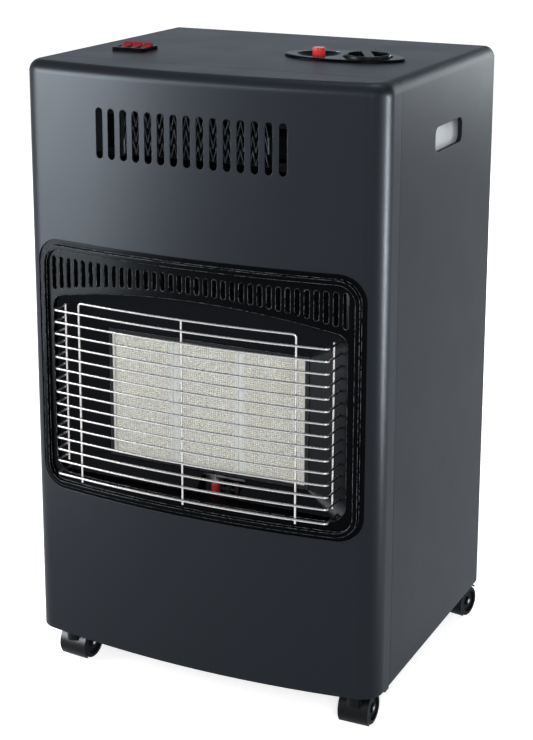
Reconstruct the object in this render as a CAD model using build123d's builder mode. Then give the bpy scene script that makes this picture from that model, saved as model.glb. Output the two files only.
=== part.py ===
from build123d import *
import os
from math import cos, radians, sin, sqrt

os.makedirs("parts", exist_ok=True)

# Millimetres. Z is up, z = 0 is the floor, the user stands on the -Y side.
# Depths called "behind" count from the seam between front panel and shell,
# plus to the back; seam_y places that seam in the finished frame.

# cabinet
body_width = 432.0
body_top = 726.0
body_bottom = 50.0
shell_depth = 297.0
sheet = 1.2
panel_side = 42.0          # depth of the front panel at its sides
panel_bow = 21.0           # how far its middle stands further out
panel_corner = 26.0        # plan radius of its upright corners
top_round = 13.0           # radius along the top edges
seam_relief = 0.3          # skins stop this far from the seam, their flanges meet at it
flange = 12.0
flange_corner = 4.0
seat_gap = 0.2             # clearance of parts that are slipped in place
half_width = body_width / 2
inner_half = half_width - sheet
under_top = body_top - sheet

# slots above the burner, in the front panel
slot_count = 15
slot_margin = 106.8        # from the sides to the middles of the outer slots
slot_width = 8.8
slot_length = 55.5
slot_middle = body_top - 71.8
slot_pitch = 2 * (half_width - slot_margin) / (slot_count - 1)

# burner surround, a moulding behind and through the front panel
burner_middle = 380.0      # height of the middle of the aperture
aperture_border = 16.0
aperture_height = 296.0
aperture_corner = 30.0
surround_lap = 6.0
surround_thick = 2.5
rim_setback = 6.0
rim_width = 5.0
rim_proud = 4.5
mouth_border = 20.0
mouth_low_corner = 20.0
mouth_high_corner = 14.0
lip = 2.0
lip_front = 40.0           # the lip ends this far ahead of the seam
aperture_half = half_width - aperture_border
rim_half = aperture_half - rim_setback
rim_height = aperture_height - 2 * rim_setback + 0.5
mouth_half = aperture_half - mouth_border
mouth_bottom = burner_middle - 126.0
mouth_side_top = burner_middle + 81.0
mouth_arch_top = burner_middle + 101.0

# vents in the surround
vent_count = 35
vent_width = 5.6
vent_top = burner_middle + 128.5
vent_low_middle = burner_middle + 109.0    # lower ends follow an arch from here ...
vent_low_side = burner_middle + 88.7       # ... to here
vent_pitch = 2 * (mouth_half - 2.52) / (vent_count - 1)

# plaques, burner body and reflector
plaque_width = 77.3
plaque_height = 143.0
plaque_thick = 13.0
plaque_gap = 4.0
plaque_face = 20.0         # plaque faces stand this far ahead of the seam
plaque_middle = burner_middle - 32.0
body_wall = 3.5
body_depth = 23.0
body_lap = 8.0
rim_step = 6.0             # plaques stand this far out of the burner body
reflector_sheet = 1.0
reflector_gap = 1.5
retainer_lap = 3.0
retainer_reach = 4.0
plaque_step = plaque_width + plaque_gap
plaque_span = 3 * plaque_width + 2 * plaque_gap
body_front = rim_step - plaque_face
body_back = body_front + body_depth
body_half = plaque_span / 2 + body_wall + seat_gap
body_half_height = plaque_height / 2 + body_wall + seat_gap

# mixer tubes and the rail of injectors under them
mixer_radius = 10.0
mixer_bore = 8.5
mixer_length = 61.0
mixer_spread = plaque_step
mixer_behind = body_front + body_depth / 2
mixer_top = plaque_middle - body_half_height
mixer_foot = mixer_top - mixer_length
rail_top = mixer_foot - 15.0
injector_tip = rail_top + 16.0

# wire guard
wire = 2.5
guard_inset = 13.3
guard_front = 78.0         # wire centres stand this far ahead of the seam in the middle ...
guard_bow = 10.6           # ... and this much further back at both ends
guard_tail = 31.5
guard_rear = 47.0          # the rear uprights stand this far ahead of the seam
wire_bend = 4.0
wire_count = 14
wire_pitch = 13.66
wire_top = burner_middle + 71.6
wire_bottom = burner_middle - 121.9
guard_top = burner_middle + 83.5
guard_foot = burner_middle - 127.0
guard_half = mouth_half - guard_inset
guard_post_left = 33.0 - guard_half
guard_post_middle = -1.5
guard_post_right = guard_half - 35.7
weld = 0.3                 # how far crossing wires sink into each other
wire_clearance = 0.1
wire_heights = [wire_top - wire_pitch * step for step in range(wire_count)] + [wire_bottom]

# hand-holes and liners
hand_hole_length = 86.0
hand_hole_height = 28.4
hand_hole_corner = 9.0
hand_hole_behind = shell_depth / 2 - 3.0
hand_hole_z = body_top - 80.2
hand_hole_depth = 5.0
liner_inset = 22.0
liner_front = 60.0
liner_back = shell_depth - 5.0
liner_low = hand_hole_z - 49.8
liner_high = hand_hole_z + 62.2

# controls in the top
bezel_x = half_width - 118.0
control_behind = 126.0
bezel_long = 71.0
bezel_short = 38.0
bezel_thick = 3.0
knob_x = bezel_x + 28.0
knob_radius = 25.6
knob_clearance = 2.2
knob_height = 11.5
knob_rise = 6.0            # knob top above the cabinet top
knob_travel = 5.0
knob_grip = 10.0
knob_grip_turn = 118.0
knob_pocket = 7.0
spindle_radius = 4.0
collar_radius = 7.2
running_fit = 0.05
button_x = bezel_x - 31.0
button_radius = 7.25
button_rise = 10.0
button_length = 22.0
button_travel = 6.0
button_clearance = 0.3
dish_radius = 25.0
dish_depth = 6.0
dish_body = dish_radius - 4.0
well_radius = knob_radius + knob_clearance
knob_top = body_top + knob_rise
knob_bottom = knob_top - knob_height
well_floor = knob_bottom - knob_travel - 1.5
well_under = well_floor - 2.0
button_hole = button_radius + button_clearance
button_top = body_top + button_rise
button_bottom = button_top - button_length
dish_floor = body_top + bezel_thick - dish_depth
dish_under = dish_floor - 3.0

# gas valve under the knob
valve_half = 25.0
valve_reach = 17.0
valve_height = 36.0
valve_z = well_under - 8.0 - valve_height
port_reach = 8.0
nozzle_radius = 4.0

# rocker switches
switch_x = 71.5 - half_width
switch_behind = 82.5
rocker_pitch = 13.0
rocker_width = 10.6
rocker_half = 10.8
rocker_gap = 0.3
rocker_tilt = 12.0
switch_rise = 4.0
switch_length = 35.0
switch_width = 42.0
switch_wall = 0.8
switch_well = 2 * rocker_half + 3.2
switch_depth = 8.0
pivot_pin = 1.5
rocker_z = body_top - 1.0
switch_skirt = 2 * (rocker_pitch + rocker_gap + switch_wall) + rocker_width
switch_hole = switch_skirt + 2 * seat_gap
switch_hole_length = switch_length - 5.0

# electric heater behind the slots
deck_z = body_top - 117.8  # top of the deck
deck_back = 58.0
deck_fold = 18.0
fan_half = half_width - 104.0
fan_front = 48.0
fan_back = 56.0
fan_top = body_top - 24.0
fan_behind = 14.0
fan_z = body_top - 70.0
fan_radius = 28.0
fan_blades = 20
shaft = 2.5
element_half = fan_half - 20.0
element_front = 41.0
element_turns = 24
bar_heights = [body_top - drop for drop in (49.0, 64.0, 80.0, 94.0)]

# pipes, and the pilot group behind the lower edge of the mouth
pipe_radius = 3.0
pipe_bend = 8.0
pilot_radius = 2.0
lead_radius = 1.2
small_bend = 5.0
pipe_x = half_width - 47.0
pilot_x = 16.0
pilot_behind = 9.0 - lip_front
pilot_gap = 16.0           # electrode to pilot burner
sensor_gap = 27.0          # electrode to thermocouple
shelf_z = mouth_bottom - 11.0

# back of the cabinet
tray_sheet = 1.5
tray_edge = 16.0
tray_pad = 1.0             # the bottle stands on a pad pressed up this far
tray_pad_radius = 155.0
cover_bulge = 53.0
cover_half = half_width - 34.0
cover_top = body_top - 80.0
cover_corner = 30.0
cover_lap = 28.0
cover_sheet = 1.0
tray_tail_half = cover_half - 7.0
shield_behind = 24.0
tray_top = body_bottom + sheet + tray_sheet
gland_x = 66.0 - half_width
gland_z = body_top - 40.0
gland_radius = 6.0
gland_bore = 3.5

# castors
wheel_radius = 18.5
wheel_width = 11.0
wheel_offset = 12.0
castor_trail = 17.0
castor_web = 11.0
hood_gap = 1.0
hood_thick = 1.8
hood_width = 36.0
boss_top = body_bottom - 7.0
axle_radius = 2.5
stem_radius = 4.0
socket_radius = 6.5
socket_plate = 10.0
front_castor_x = half_width - 34.0
front_castor_behind = -20.0
rear_castor_x = half_width - 30.0
rear_castor_behind = shell_depth - 11.5
castor_places = {
    "front_right": (front_castor_x, front_castor_behind, 91),
    "front_left": (-front_castor_x, front_castor_behind, 85),
    "rear_right": (rear_castor_x, rear_castor_behind, 80),
    "rear_left": (-rear_castor_x, rear_castor_behind, 107),
}

# where the seam lies, so that the whole heater is centred on the origin
seam_y = (guard_front + wire / 2 - shell_depth - cover_bulge) / 2
bow_radius = (half_width ** 2 + panel_bow ** 2) / (2 * panel_bow)
bow_centre = bow_radius - panel_side - panel_bow
fan_y = seam_y + fan_behind


def level(z):
    return Plane.XY.offset(z)


def upright(behind):
    """a plane seen from the front; a positive extrusion comes forward"""
    return Plane.XZ.offset(-(seam_y + behind))


def sideways(x):
    return Plane.YZ.offset(x)


def at(x, behind, z):
    return (x, seam_y + behind, z)


def save(piece, name):
    piece.label = name
    export_step(piece, f"parts/{name}.step")


def block(x_from, x_to, behind_from, behind_to, z_from, z_to, mode=Mode.ADD):
    middle = at((x_from + x_to) / 2, (behind_from + behind_to) / 2, (z_from + z_to) / 2)
    with Locations(middle):
        Box(x_to - x_from, behind_to - behind_from, z_to - z_from, mode=mode)


def rod(x, behind, z_from, z_to, radius, mode=Mode.ADD):
    """a round standing upright"""
    with Locations(at(x, behind, (z_from + z_to) / 2)):
        Cylinder(radius, z_to - z_from, mode=mode)


def rod_back(x, z, behind_from, behind_to, radius, mode=Mode.ADD):
    """a round lying front to back"""
    with Locations(Location(at(x, (behind_from + behind_to) / 2, z), (90, 0, 0))):
        Cylinder(radius, behind_to - behind_from, mode=mode)


def rod_across(behind, z, x_from, x_to, radius, mode=Mode.ADD):
    """a round lying left to right"""
    with Locations(Location(at((x_from + x_to) / 2, behind, z), (0, 90, 0))):
        Cylinder(radius, x_to - x_from, mode=mode)


def tube(points, radius, bend):
    """a wire or pipe of straight runs joined by bends"""
    with BuildPart() as run:
        with BuildLine() as path:
            FilletPolyline(*points, radius=bend)
        with BuildSketch(Plane(origin=path.line @ 0, z_dir=path.line % 0)):
            Circle(radius)
        sweep()
    return run.part


def front_view(inset, behind, corner):
    """outline of the cabinet seen from the front, drawn inside its skin"""
    with BuildSketch(upright(behind)) as outline:
        with Locations((0, body_bottom)):
            Rectangle(
                2 * (half_width - inset),
                body_top - inset - body_bottom,
                align=(Align.CENTER, Align.MIN),
            )
        fillet(outline.vertices().group_by(Axis.Y)[-1], corner)
    return outline.sketch


def bow_behind(x, inset=0.0):
    """where the bowed front lies at a distance from the middle"""
    return bow_centre - sqrt((bow_radius - inset) ** 2 - x * x)


def front_plan(inset, back, z=body_bottom):
    """outline of the front panel seen from above, drawn inside its skin"""
    half = half_width - inset
    side = seam_y + bow_behind(half, inset)
    nose = seam_y + bow_behind(0, inset)
    with BuildSketch(level(z)) as outline:
        with BuildLine():
            ThreePointArc((-half, side), (0, nose), (half, side))
            Polyline((half, side), (half, seam_y + back), (-half, seam_y + back), (-half, side))
        make_face()
        fillet(outline.vertices().sort_by(Axis.Y)[:2], panel_corner - inset)
    return outline.sketch


def folded_edge(behind):
    """flat flange inside the skin, its rear face at the given depth"""
    with BuildPart() as edge:
        extrude(front_view(sheet / 2, behind, top_round - sheet / 2), amount=sheet)
        extrude(
            front_view(sheet + flange, behind, flange_corner), amount=sheet, mode=Mode.SUBTRACT
        )
    return edge.part


def bowed_plate(outline, front_inset, back_inset):
    """a plate that follows the front panel, cut to an outline seen from the front"""
    with BuildPart() as plate:
        extrude(front_plan(front_inset, 0), amount=body_top - body_bottom)
        extrude(front_plan(back_inset, 5), amount=body_top - body_bottom, mode=Mode.SUBTRACT)
        extrude(outline, amount=2 * (panel_side + panel_bow), mode=Mode.INTERSECT)
    return plate.part


def rounded_view(half, height, corner, behind=-1.0):
    """a rounded rectangle seen from the front, about the middle of the burner"""
    with BuildSketch(upright(behind)) as outline:
        with Locations((0, burner_middle)):
            RectangleRounded(2 * half, height, corner)
    return outline.sketch


def arched_view(half, low, side_high, middle_high, low_corner, high_corner, behind):
    """an outline with a flat foot and an arched head, seen from the front"""
    with BuildSketch(upright(behind)) as outline:
        with BuildLine():
            Polyline((-half, side_high), (-half, low), (half, low), (half, side_high))
            ThreePointArc((half, side_high), (0, middle_high), (-half, side_high))
        make_face()
        feet = outline.vertices().group_by(Axis.Y)[0]
        fillet(feet, low_corner)
        heads = outline.vertices().filter_by(lambda v: abs(v.Y - side_high) < 0.01)
        heads = [v for v in heads if abs(abs(v.X) - half) < 0.01]
        fillet(heads, high_corner)
    return outline.sketch


def mouth_view(grow, behind):
    return arched_view(
        mouth_half + grow,
        mouth_bottom - grow,
        mouth_side_top + grow,
        mouth_arch_top + grow,
        mouth_low_corner + grow,
        mouth_high_corner + grow,
        behind,
    )


def build_cabinet_shell():
    front_edge = folded_edge(sheet)
    back_edge = folded_edge(shell_depth)
    with BuildPart() as cabinet_shell:
        extrude(front_view(0, shell_depth, top_round), amount=shell_depth - seam_relief)
        extrude(
            front_view(sheet, shell_depth, top_round - sheet), amount=shell_depth, mode=Mode.SUBTRACT
        )
        add(front_edge)
        add(back_edge)
        for side in (-1, 1):
            edges = sorted((side * (inner_half - flange), side * (inner_half + sheet / 2)))
            block(edges[0], edges[1], 0, shell_depth, body_bottom, body_bottom + sheet)
            edges = sorted((side * (half_width - hand_hole_depth), side * (inner_half + sheet / 2)))
            with BuildSketch(sideways(edges[0])):
                with Locations((seam_y + hand_hole_behind, hand_hole_z)):
                    RectangleRounded(
                        hand_hole_length + 2 * sheet,
                        hand_hole_height + 2 * sheet,
                        hand_hole_corner + sheet,
                    )
            extrude(amount=edges[1] - edges[0])
        with BuildSketch(sideways(0)):
            with Locations((seam_y + hand_hole_behind, hand_hole_z)):
                RectangleRounded(hand_hole_length, hand_hole_height, hand_hole_corner)
        extrude(amount=half_width + 1, both=True, mode=Mode.SUBTRACT)
        rod(knob_x, control_behind, under_top - 1, body_top + 1, well_radius + 2.5, Mode.SUBTRACT)
        rod(button_x, control_behind, under_top - 1, body_top + 1, dish_body + 0.5, Mode.SUBTRACT)
        block(
            switch_x - switch_hole / 2,
            switch_x + switch_hole / 2,
            switch_behind - switch_hole_length / 2,
            switch_behind + switch_hole_length / 2,
            under_top - 1,
            body_top + 1,
            Mode.SUBTRACT,
        )
    save(cabinet_shell.part, "cabinet_shell")


def build_front_panel():
    edge = folded_edge(0)
    with BuildPart() as skin:
        extrude(front_plan(0, -seam_relief), amount=body_top - body_bottom)
        fillet(skin.faces().sort_by(Axis.Z)[-1].edges().sort_by(Axis.Y)[:-1], top_round)
    with BuildPart() as hollow:
        extrude(front_plan(sheet, 5), amount=under_top - body_bottom)
        fillet(hollow.faces().sort_by(Axis.Z)[-1].edges().sort_by(Axis.Y)[:-1], top_round - sheet)
    with BuildPart() as front_panel:
        add(skin)
        add(hollow, mode=Mode.SUBTRACT)
        add(edge)
        extrude(front_plan(sheet / 2, -sheet / 2), amount=sheet)
        extrude(front_plan(sheet + flange, 5), amount=sheet, mode=Mode.SUBTRACT)
        with BuildSketch(upright(-5)):
            with Locations((0, slot_middle)):
                with GridLocations(slot_pitch, 0, slot_count, 1):
                    SlotOverall(slot_length, slot_width, rotation=90)
        extrude(amount=panel_side + panel_bow, mode=Mode.SUBTRACT)
        extrude(
            rounded_view(aperture_half, aperture_height, aperture_corner, -5),
            amount=panel_side + panel_bow,
            mode=Mode.SUBTRACT,
        )
    save(front_panel.part, "front_panel")


def build_base_tray():
    inset = sheet + seat_gap
    neck = inner_half - flange - seat_gap
    corner = panel_corner - inset - tray_sheet
    with BuildPart() as front:
        extrude(front_plan(inset, -3 * sheet), amount=tray_edge)
        extrude(
            front_plan(inset + tray_sheet, 5, body_bottom + tray_sheet),
            amount=tray_edge,
            mode=Mode.SUBTRACT,
        )
    front_part = front.part.moved(Location((0, 0, sheet)))
    rear_edge = cover_bulge - 4 + shell_depth
    with BuildPart() as base_tray:
        add(front_part)
        side = half_width - inset
        middle_from = 2 * sheet
        middle_to = shell_depth - 2 * sheet
        low = body_bottom + sheet
        high = low + tray_edge
        block(-side, side, middle_from, middle_to, low, high)
        block(
            -side + tray_sheet, side - tray_sheet, -3, middle_to + 5, tray_top, high + 1, Mode.SUBTRACT
        )
        block(-neck, neck, -3 * sheet - 1, middle_from + 1, low, tray_top)
        for depth, foot, mode in ((0, low, Mode.ADD), (tray_sheet, tray_top, Mode.SUBTRACT)):
            start = middle_to - 1 - 4 * depth
            with BuildSketch(level(foot)) as tail:
                with Locations((0, seam_y + (start + rear_edge - depth) / 2)):
                    Rectangle(2 * (tray_tail_half - depth), rear_edge - depth - start)
                fillet(tail.vertices().group_by(Axis.Y)[-1], cover_corner - 4 - depth)
            extrude(amount=high - foot, mode=mode)
        block(-neck, neck, -3 * sheet - 2, middle_from + 2, tray_top, high + 1, Mode.SUBTRACT)
        for hand in (-1, 1):
            web = sorted((hand * (neck - 3), hand * neck))
            lug = sorted((hand * (neck - 3), hand * (half_width - 2)))
            block(web[0], web[1], -8, 3, body_bottom - 6, low + 0.5)
            block(lug[0], lug[1], -8, 3, body_bottom - 6, body_bottom - 0.1)
        pad_behind = (shield_behind + sheet + rear_edge) / 2
        rod(0, pad_behind, tray_top - tray_sheet / 2, tray_top + tray_pad, tray_pad_radius)
        for x, behind, heading in castor_places.values():
            rod(x, behind, body_bottom, tray_top + 1, socket_radius + seat_gap, Mode.SUBTRACT)
    save(base_tray.part, "base_tray")


def build_rear_cover():
    rear = shell_depth + cover_bulge
    face = shell_depth + seat_gap
    low = tray_top + 4 * seat_gap
    high = cover_top - 10
    with BuildPart() as bulge:
        with BuildSketch(level(low)) as outline:
            with Locations((0, seam_y + (face + rear) / 2)):
                Rectangle(2 * cover_half, rear - face)
            fillet(outline.vertices().group_by(Axis.Y)[-1], cover_corner)
        extrude(amount=high - low)
        fillet(bulge.faces().sort_by(Axis.Z)[-1].edges().sort_by(Axis.Y)[1:], 10)
    with BuildPart() as inside:
        with BuildSketch(level(low)) as outline:
            with Locations((0, seam_y + (face - 2 + rear - cover_sheet) / 2)):
                Rectangle(2 * (cover_half - cover_sheet), rear - cover_sheet - (face - 2))
            fillet(outline.vertices().group_by(Axis.Y)[-1], cover_corner - cover_sheet)
        extrude(amount=high - cover_sheet - low)
        fillet(inside.faces().sort_by(Axis.Z)[-1].edges().sort_by(Axis.Y)[1:], 10 - cover_sheet)
    with BuildPart() as rear_cover:
        add(bulge)
        wide = cover_half + cover_lap
        block(-wide, wide, face, face + cover_sheet, low, cover_top)
        block(-60, 60, face, face + 10, cover_top - cover_sheet, cover_top)
        add(inside, mode=Mode.SUBTRACT)
        with BuildSketch(upright(rear + 1)):
            with Locations((0, cover_top - 80)):
                with GridLocations(cover_half - 87, 12, 3, 6):
                    SlotOverall(cover_half - 112, 5)
        extrude(amount=4 * cover_sheet, mode=Mode.SUBTRACT)
    save(rear_cover.part, "rear_cover")


def build_heat_shield():
    half = inner_half - tray_sheet - 1.0
    with BuildPart() as heat_shield:
        block(-half, half, shield_behind, shield_behind + sheet, tray_top, deck_z - sheet)
        block(-half, half, shield_behind - 8, shield_behind, deck_z - 2 * sheet, deck_z - sheet)
        fold_foot = tray_top + 2 * tray_edge
        block(-half, -half + sheet, shield_behind - 8, shield_behind, fold_foot, deck_z - sheet)
        block(half - sheet, half, shield_behind - 8, shield_behind, fold_foot, deck_z - sheet)
    save(heat_shield.part, "heat_shield")


def build_upper_deck():
    wide = inner_half - seat_gap
    narrow = wide - 28
    with BuildPart() as upper_deck:
        block(-wide, wide, 2 * sheet, deck_back, deck_z - sheet, deck_z)
        block(-narrow, narrow, 1 - panel_side, 2 * sheet, deck_z - sheet, deck_z)
        block(-wide, -wide + sheet, 2 * sheet, deck_back, deck_z - sheet, deck_z + deck_fold)
        block(wide - sheet, wide, 2 * sheet, deck_back, deck_z - sheet, deck_z + deck_fold)
        block(
            pipe_x - 19, pipe_x + 31, mixer_behind - 6, mixer_behind + 7, deck_z - 5, deck_z + 5,
            Mode.SUBTRACT,
        )
        block(14 - fan_half, fan_half - 14, 14 - fan_front, -4, deck_z - 5, deck_z + 5, Mode.SUBTRACT)
    save(upper_deck.part, "upper_deck")


def build_side_liner(hand, name):
    inner = half_width - liner_inset
    outer = inner_half - seat_gap
    plate = sorted((hand * inner, hand * (inner + sheet)))
    fold = sorted((hand * inner, hand * outer))
    with BuildPart() as liner:
        block(plate[0], plate[1], liner_front, liner_back, liner_low, liner_high)
        block(fold[0], fold[1], liner_front, liner_back, liner_low, liner_low + sheet)
        block(fold[0], fold[1], liner_front, liner_back, liner_high - sheet, liner_high)
        block(fold[0], fold[1], liner_front, liner_front + sheet, liner_low, liner_high)
        block(fold[0], fold[1], liner_back - sheet, liner_back, liner_low, liner_high)
    save(liner.part, name)


def build_upper_back_panel():
    face = shell_depth + seat_gap
    half = cover_half + cover_lap
    with BuildPart() as upper_back_panel:
        block(-half, half, face, face + sheet, cover_top + 2, body_top - 8)
        with BuildSketch(upright(face + 5)):
            with Locations((20, body_top - 46)):
                with GridLocations(half_width / 18, 0, 18, 1):
                    SlotOverall(40, 5, rotation=90)
        extrude(amount=8, mode=Mode.SUBTRACT)
        rod_back(gland_x, gland_z, face - 5, face + 5, gland_radius + running_fit, Mode.SUBTRACT)
    save(upper_back_panel.part, "upper_back_panel")


def build_burner_surround():
    face_inset = 0.5
    seat = sheet + 0.1
    back_inset = seat + surround_thick
    lap_outline = rounded_view(
        aperture_half + surround_lap, aperture_height + 2 * surround_lap, aperture_corner + surround_lap
    )
    rim_outline = rounded_view(rim_half, rim_height, aperture_corner - 5)
    rim_inner = rounded_view(rim_half - rim_width, rim_height - 2 * rim_width, aperture_corner - 10)
    lap_plate = bowed_plate(lap_outline, seat, back_inset)
    face_plate = bowed_plate(rim_outline, face_inset, back_inset)
    rim_plate = bowed_plate(rim_outline, -rim_proud, back_inset)
    with BuildPart() as rim_ring:
        add(rim_plate)
        extrude(rim_inner, amount=2 * (panel_side + panel_bow), mode=Mode.SUBTRACT)
    with BuildPart() as mouth_lip:
        extrude(front_plan(face_inset, 0), amount=body_top - body_bottom)
        extrude(mouth_view(lip, -lip_front), amount=panel_side + panel_bow, mode=Mode.INTERSECT)
    slot_arch = vent_low_middle - vent_low_side
    with BuildPart() as burner_surround:
        add(lap_plate)
        add(face_plate)
        add(rim_ring)
        add(mouth_lip)
        extrude(mouth_view(0, -1), amount=2 * (panel_side + panel_bow), mode=Mode.SUBTRACT)
        for step in range(vent_count):
            x = (step - (vent_count - 1) / 2) * vent_pitch
            low = vent_low_middle - slot_arch * (x / mouth_half) ** 2
            with BuildSketch(upright(-1)):
                with Locations((x, (low + vent_top) / 2)):
                    SlotOverall(vent_top - low, vent_width, rotation=90)
            extrude(amount=2 * (panel_side + panel_bow), mode=Mode.SUBTRACT)
    save(burner_surround.part, "burner_surround")


def reflector_back_view(grow, behind):
    side = body_half + reflector_gap + grow
    low = plaque_middle - body_half_height - reflector_gap - grow
    high = plaque_middle + body_half_height + reflector_gap + grow
    return arched_view(side, low, high - 1, high, 1.5 + grow, 1.5 + grow, behind)


def build_reflector():
    narrow = plaque_face + 1.0
    with BuildPart() as reflector:
        loft([mouth_view(reflector_sheet, -lip_front), reflector_back_view(reflector_sheet, -narrow)])
        extrude(mouth_view(6, -lip_front + reflector_sheet), amount=reflector_sheet)
        extrude(reflector_back_view(reflector_sheet, body_front), amount=narrow + body_front)
        loft(
            [mouth_view(0, -lip_front), reflector_back_view(0, -narrow)], mode=Mode.SUBTRACT
        )
        extrude(reflector_back_view(0, body_front), amount=narrow + body_front, mode=Mode.SUBTRACT)
        block(pilot_x - 21, pilot_x + 32, 2 - lip_front, -narrow, shelf_z + 3, shelf_z + 29, Mode.SUBTRACT)
        hole = wire / 2 + wire_clearance
        for side in (-1, 1):
            for z in wire_heights:
                rod_back(side * guard_half, z, -lip_front - 1, 3.5 - guard_tail, hole, Mode.SUBTRACT)
    save(reflector.part, "reflector")


def build_burner_body():
    lap_half = body_half + body_lap
    lap_height = body_half_height + body_lap
    low = plaque_middle - body_half_height
    high = plaque_middle + body_half_height
    pocket_half = plaque_span / 2 + seat_gap
    pocket_height = plaque_height / 2 + seat_gap
    with BuildPart() as burner_body:
        block(-body_half, body_half, body_front, body_back, low, high)
        block(
            -lap_half,
            lap_half,
            body_front,
            body_front + sheet,
            plaque_middle - lap_height,
            plaque_middle + lap_height,
        )
        block(
            -pocket_half,
            pocket_half,
            body_front - 1,
            plaque_thick - plaque_face,
            plaque_middle - pocket_height,
            plaque_middle + pocket_height,
            Mode.SUBTRACT,
        )
        block(
            4 - pocket_half,
            pocket_half - 4,
            body_front,
            body_back - sheet,
            plaque_middle - pocket_height + 4,
            plaque_middle + pocket_height - 4,
            Mode.SUBTRACT,
        )
        for side in (-1, 0, 1):
            rod(side * mixer_spread, mixer_behind, low - 1, low + 12, mixer_bore, Mode.SUBTRACT)
        for side in (-1, 1):
            edges = sorted((side * (body_half - 12), side * (body_half - 12 - sheet)))
            block(edges[0], edges[1], body_back, shield_behind, plaque_middle - 40, plaque_middle + 40)
    save(burner_body.part, "burner_body")


def build_plaques():
    for name, x in (("left", -plaque_step), ("centre", 0), ("right", plaque_step)):
        with BuildPart() as plaque:
            block(
                x - plaque_width / 2,
                x + plaque_width / 2,
                -plaque_face,
                plaque_thick - plaque_face,
                plaque_middle - plaque_height / 2,
                plaque_middle + plaque_height / 2,
            )
        save(plaque.part, f"ceramic_plaque_{name}")
    with BuildPart() as gasket_strips:
        for side in (-1, 1):
            block(
                side * plaque_step / 2 - plaque_gap / 2,
                side * plaque_step / 2 + plaque_gap / 2,
                0.6 - plaque_face,
                plaque_thick - plaque_face,
                plaque_middle - plaque_height / 2,
                plaque_middle + plaque_height / 2,
            )
    save(gasket_strips.part, "gasket_strips")


def build_plaque_retainer():
    half = plaque_span / 2
    tall = plaque_height / 2
    outer = half + retainer_reach
    outer_tall = tall + retainer_reach
    inner = outer - sheet
    inner_tall = outer_tall - sheet
    with BuildPart() as plaque_retainer:
        block(
            -outer,
            outer,
            -plaque_face - sheet,
            body_front,
            plaque_middle - outer_tall,
            plaque_middle + outer_tall,
        )
        block(
            -inner,
            inner,
            -plaque_face,
            body_front + 1,
            plaque_middle - inner_tall,
            plaque_middle + inner_tall,
            Mode.SUBTRACT,
        )
        block(
            retainer_lap - half,
            half - retainer_lap,
            -plaque_face - 2,
            -plaque_face + 1,
            plaque_middle - tall + retainer_lap,
            plaque_middle + tall - retainer_lap,
            Mode.SUBTRACT,
        )
    save(plaque_retainer.part, "plaque_retainer")


def build_mixers():
    with BuildPart() as mixer_tubes:
        for side in (-1, 0, 1):
            x = side * mixer_spread
            rod(x, mixer_behind, mixer_foot, mixer_top, mixer_radius)
            block(
                x - 18,
                x + 18,
                mixer_behind - mixer_radius,
                mixer_behind + mixer_radius,
                mixer_top - sheet,
                mixer_top,
            )
            with Locations(at(x, mixer_behind, mixer_foot + 5)):
                Cone(mixer_radius + 4, mixer_radius, 10)
            with Locations(at(x, mixer_behind, mixer_foot + 4)):
                Cone(mixer_radius + 2, mixer_bore, 8, mode=Mode.SUBTRACT)
            rod(x, mixer_behind, mixer_foot + 7, mixer_top + 1, mixer_bore, Mode.SUBTRACT)
    save(mixer_tubes.part, "mixer_tubes")
    with BuildPart() as injectors:
        for side in (-1, 0, 1):
            x = side * mixer_spread
            with BuildSketch(level(rail_top)):
                with Locations((x, seam_y + mixer_behind)):
                    RegularPolygon(6, 6)
            extrude(amount=8)
            with Locations(at(x, mixer_behind, injector_tip - 4)):
                Cone(4.5, 2.5, 8)
            rod(x, mixer_behind, rail_top + 2, injector_tip + 4, 0.6, Mode.SUBTRACT)
    save(injectors.part, "injectors")
    with BuildPart() as injector_rail:
        half = mixer_spread + 14
        block(-half, half, mixer_behind - 7, mixer_behind + 7, rail_top - 3, rail_top)
        block(-half, half, mixer_behind + 4, mixer_behind + 7, rail_top - 14, rail_top)
        for side in (-1, 1):
            edges = sorted((side * half, side * (half - 14)))
            block(edges[0], edges[1], mixer_behind, shield_behind, rail_top - 3, rail_top)
            block(edges[0], edges[1], shield_behind - 2, shield_behind, rail_top - 20, rail_top)
        for side in (-1, 0, 1):
            rod(side * mixer_spread, mixer_behind, rail_top - 9, rail_top - 3, 6)
            rod(
                side * mixer_spread, mixer_behind, rail_top - 10, rail_top - 4, pipe_radius + running_fit,
                Mode.SUBTRACT,
            )
    save(injector_rail.part, "injector_rail")


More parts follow.
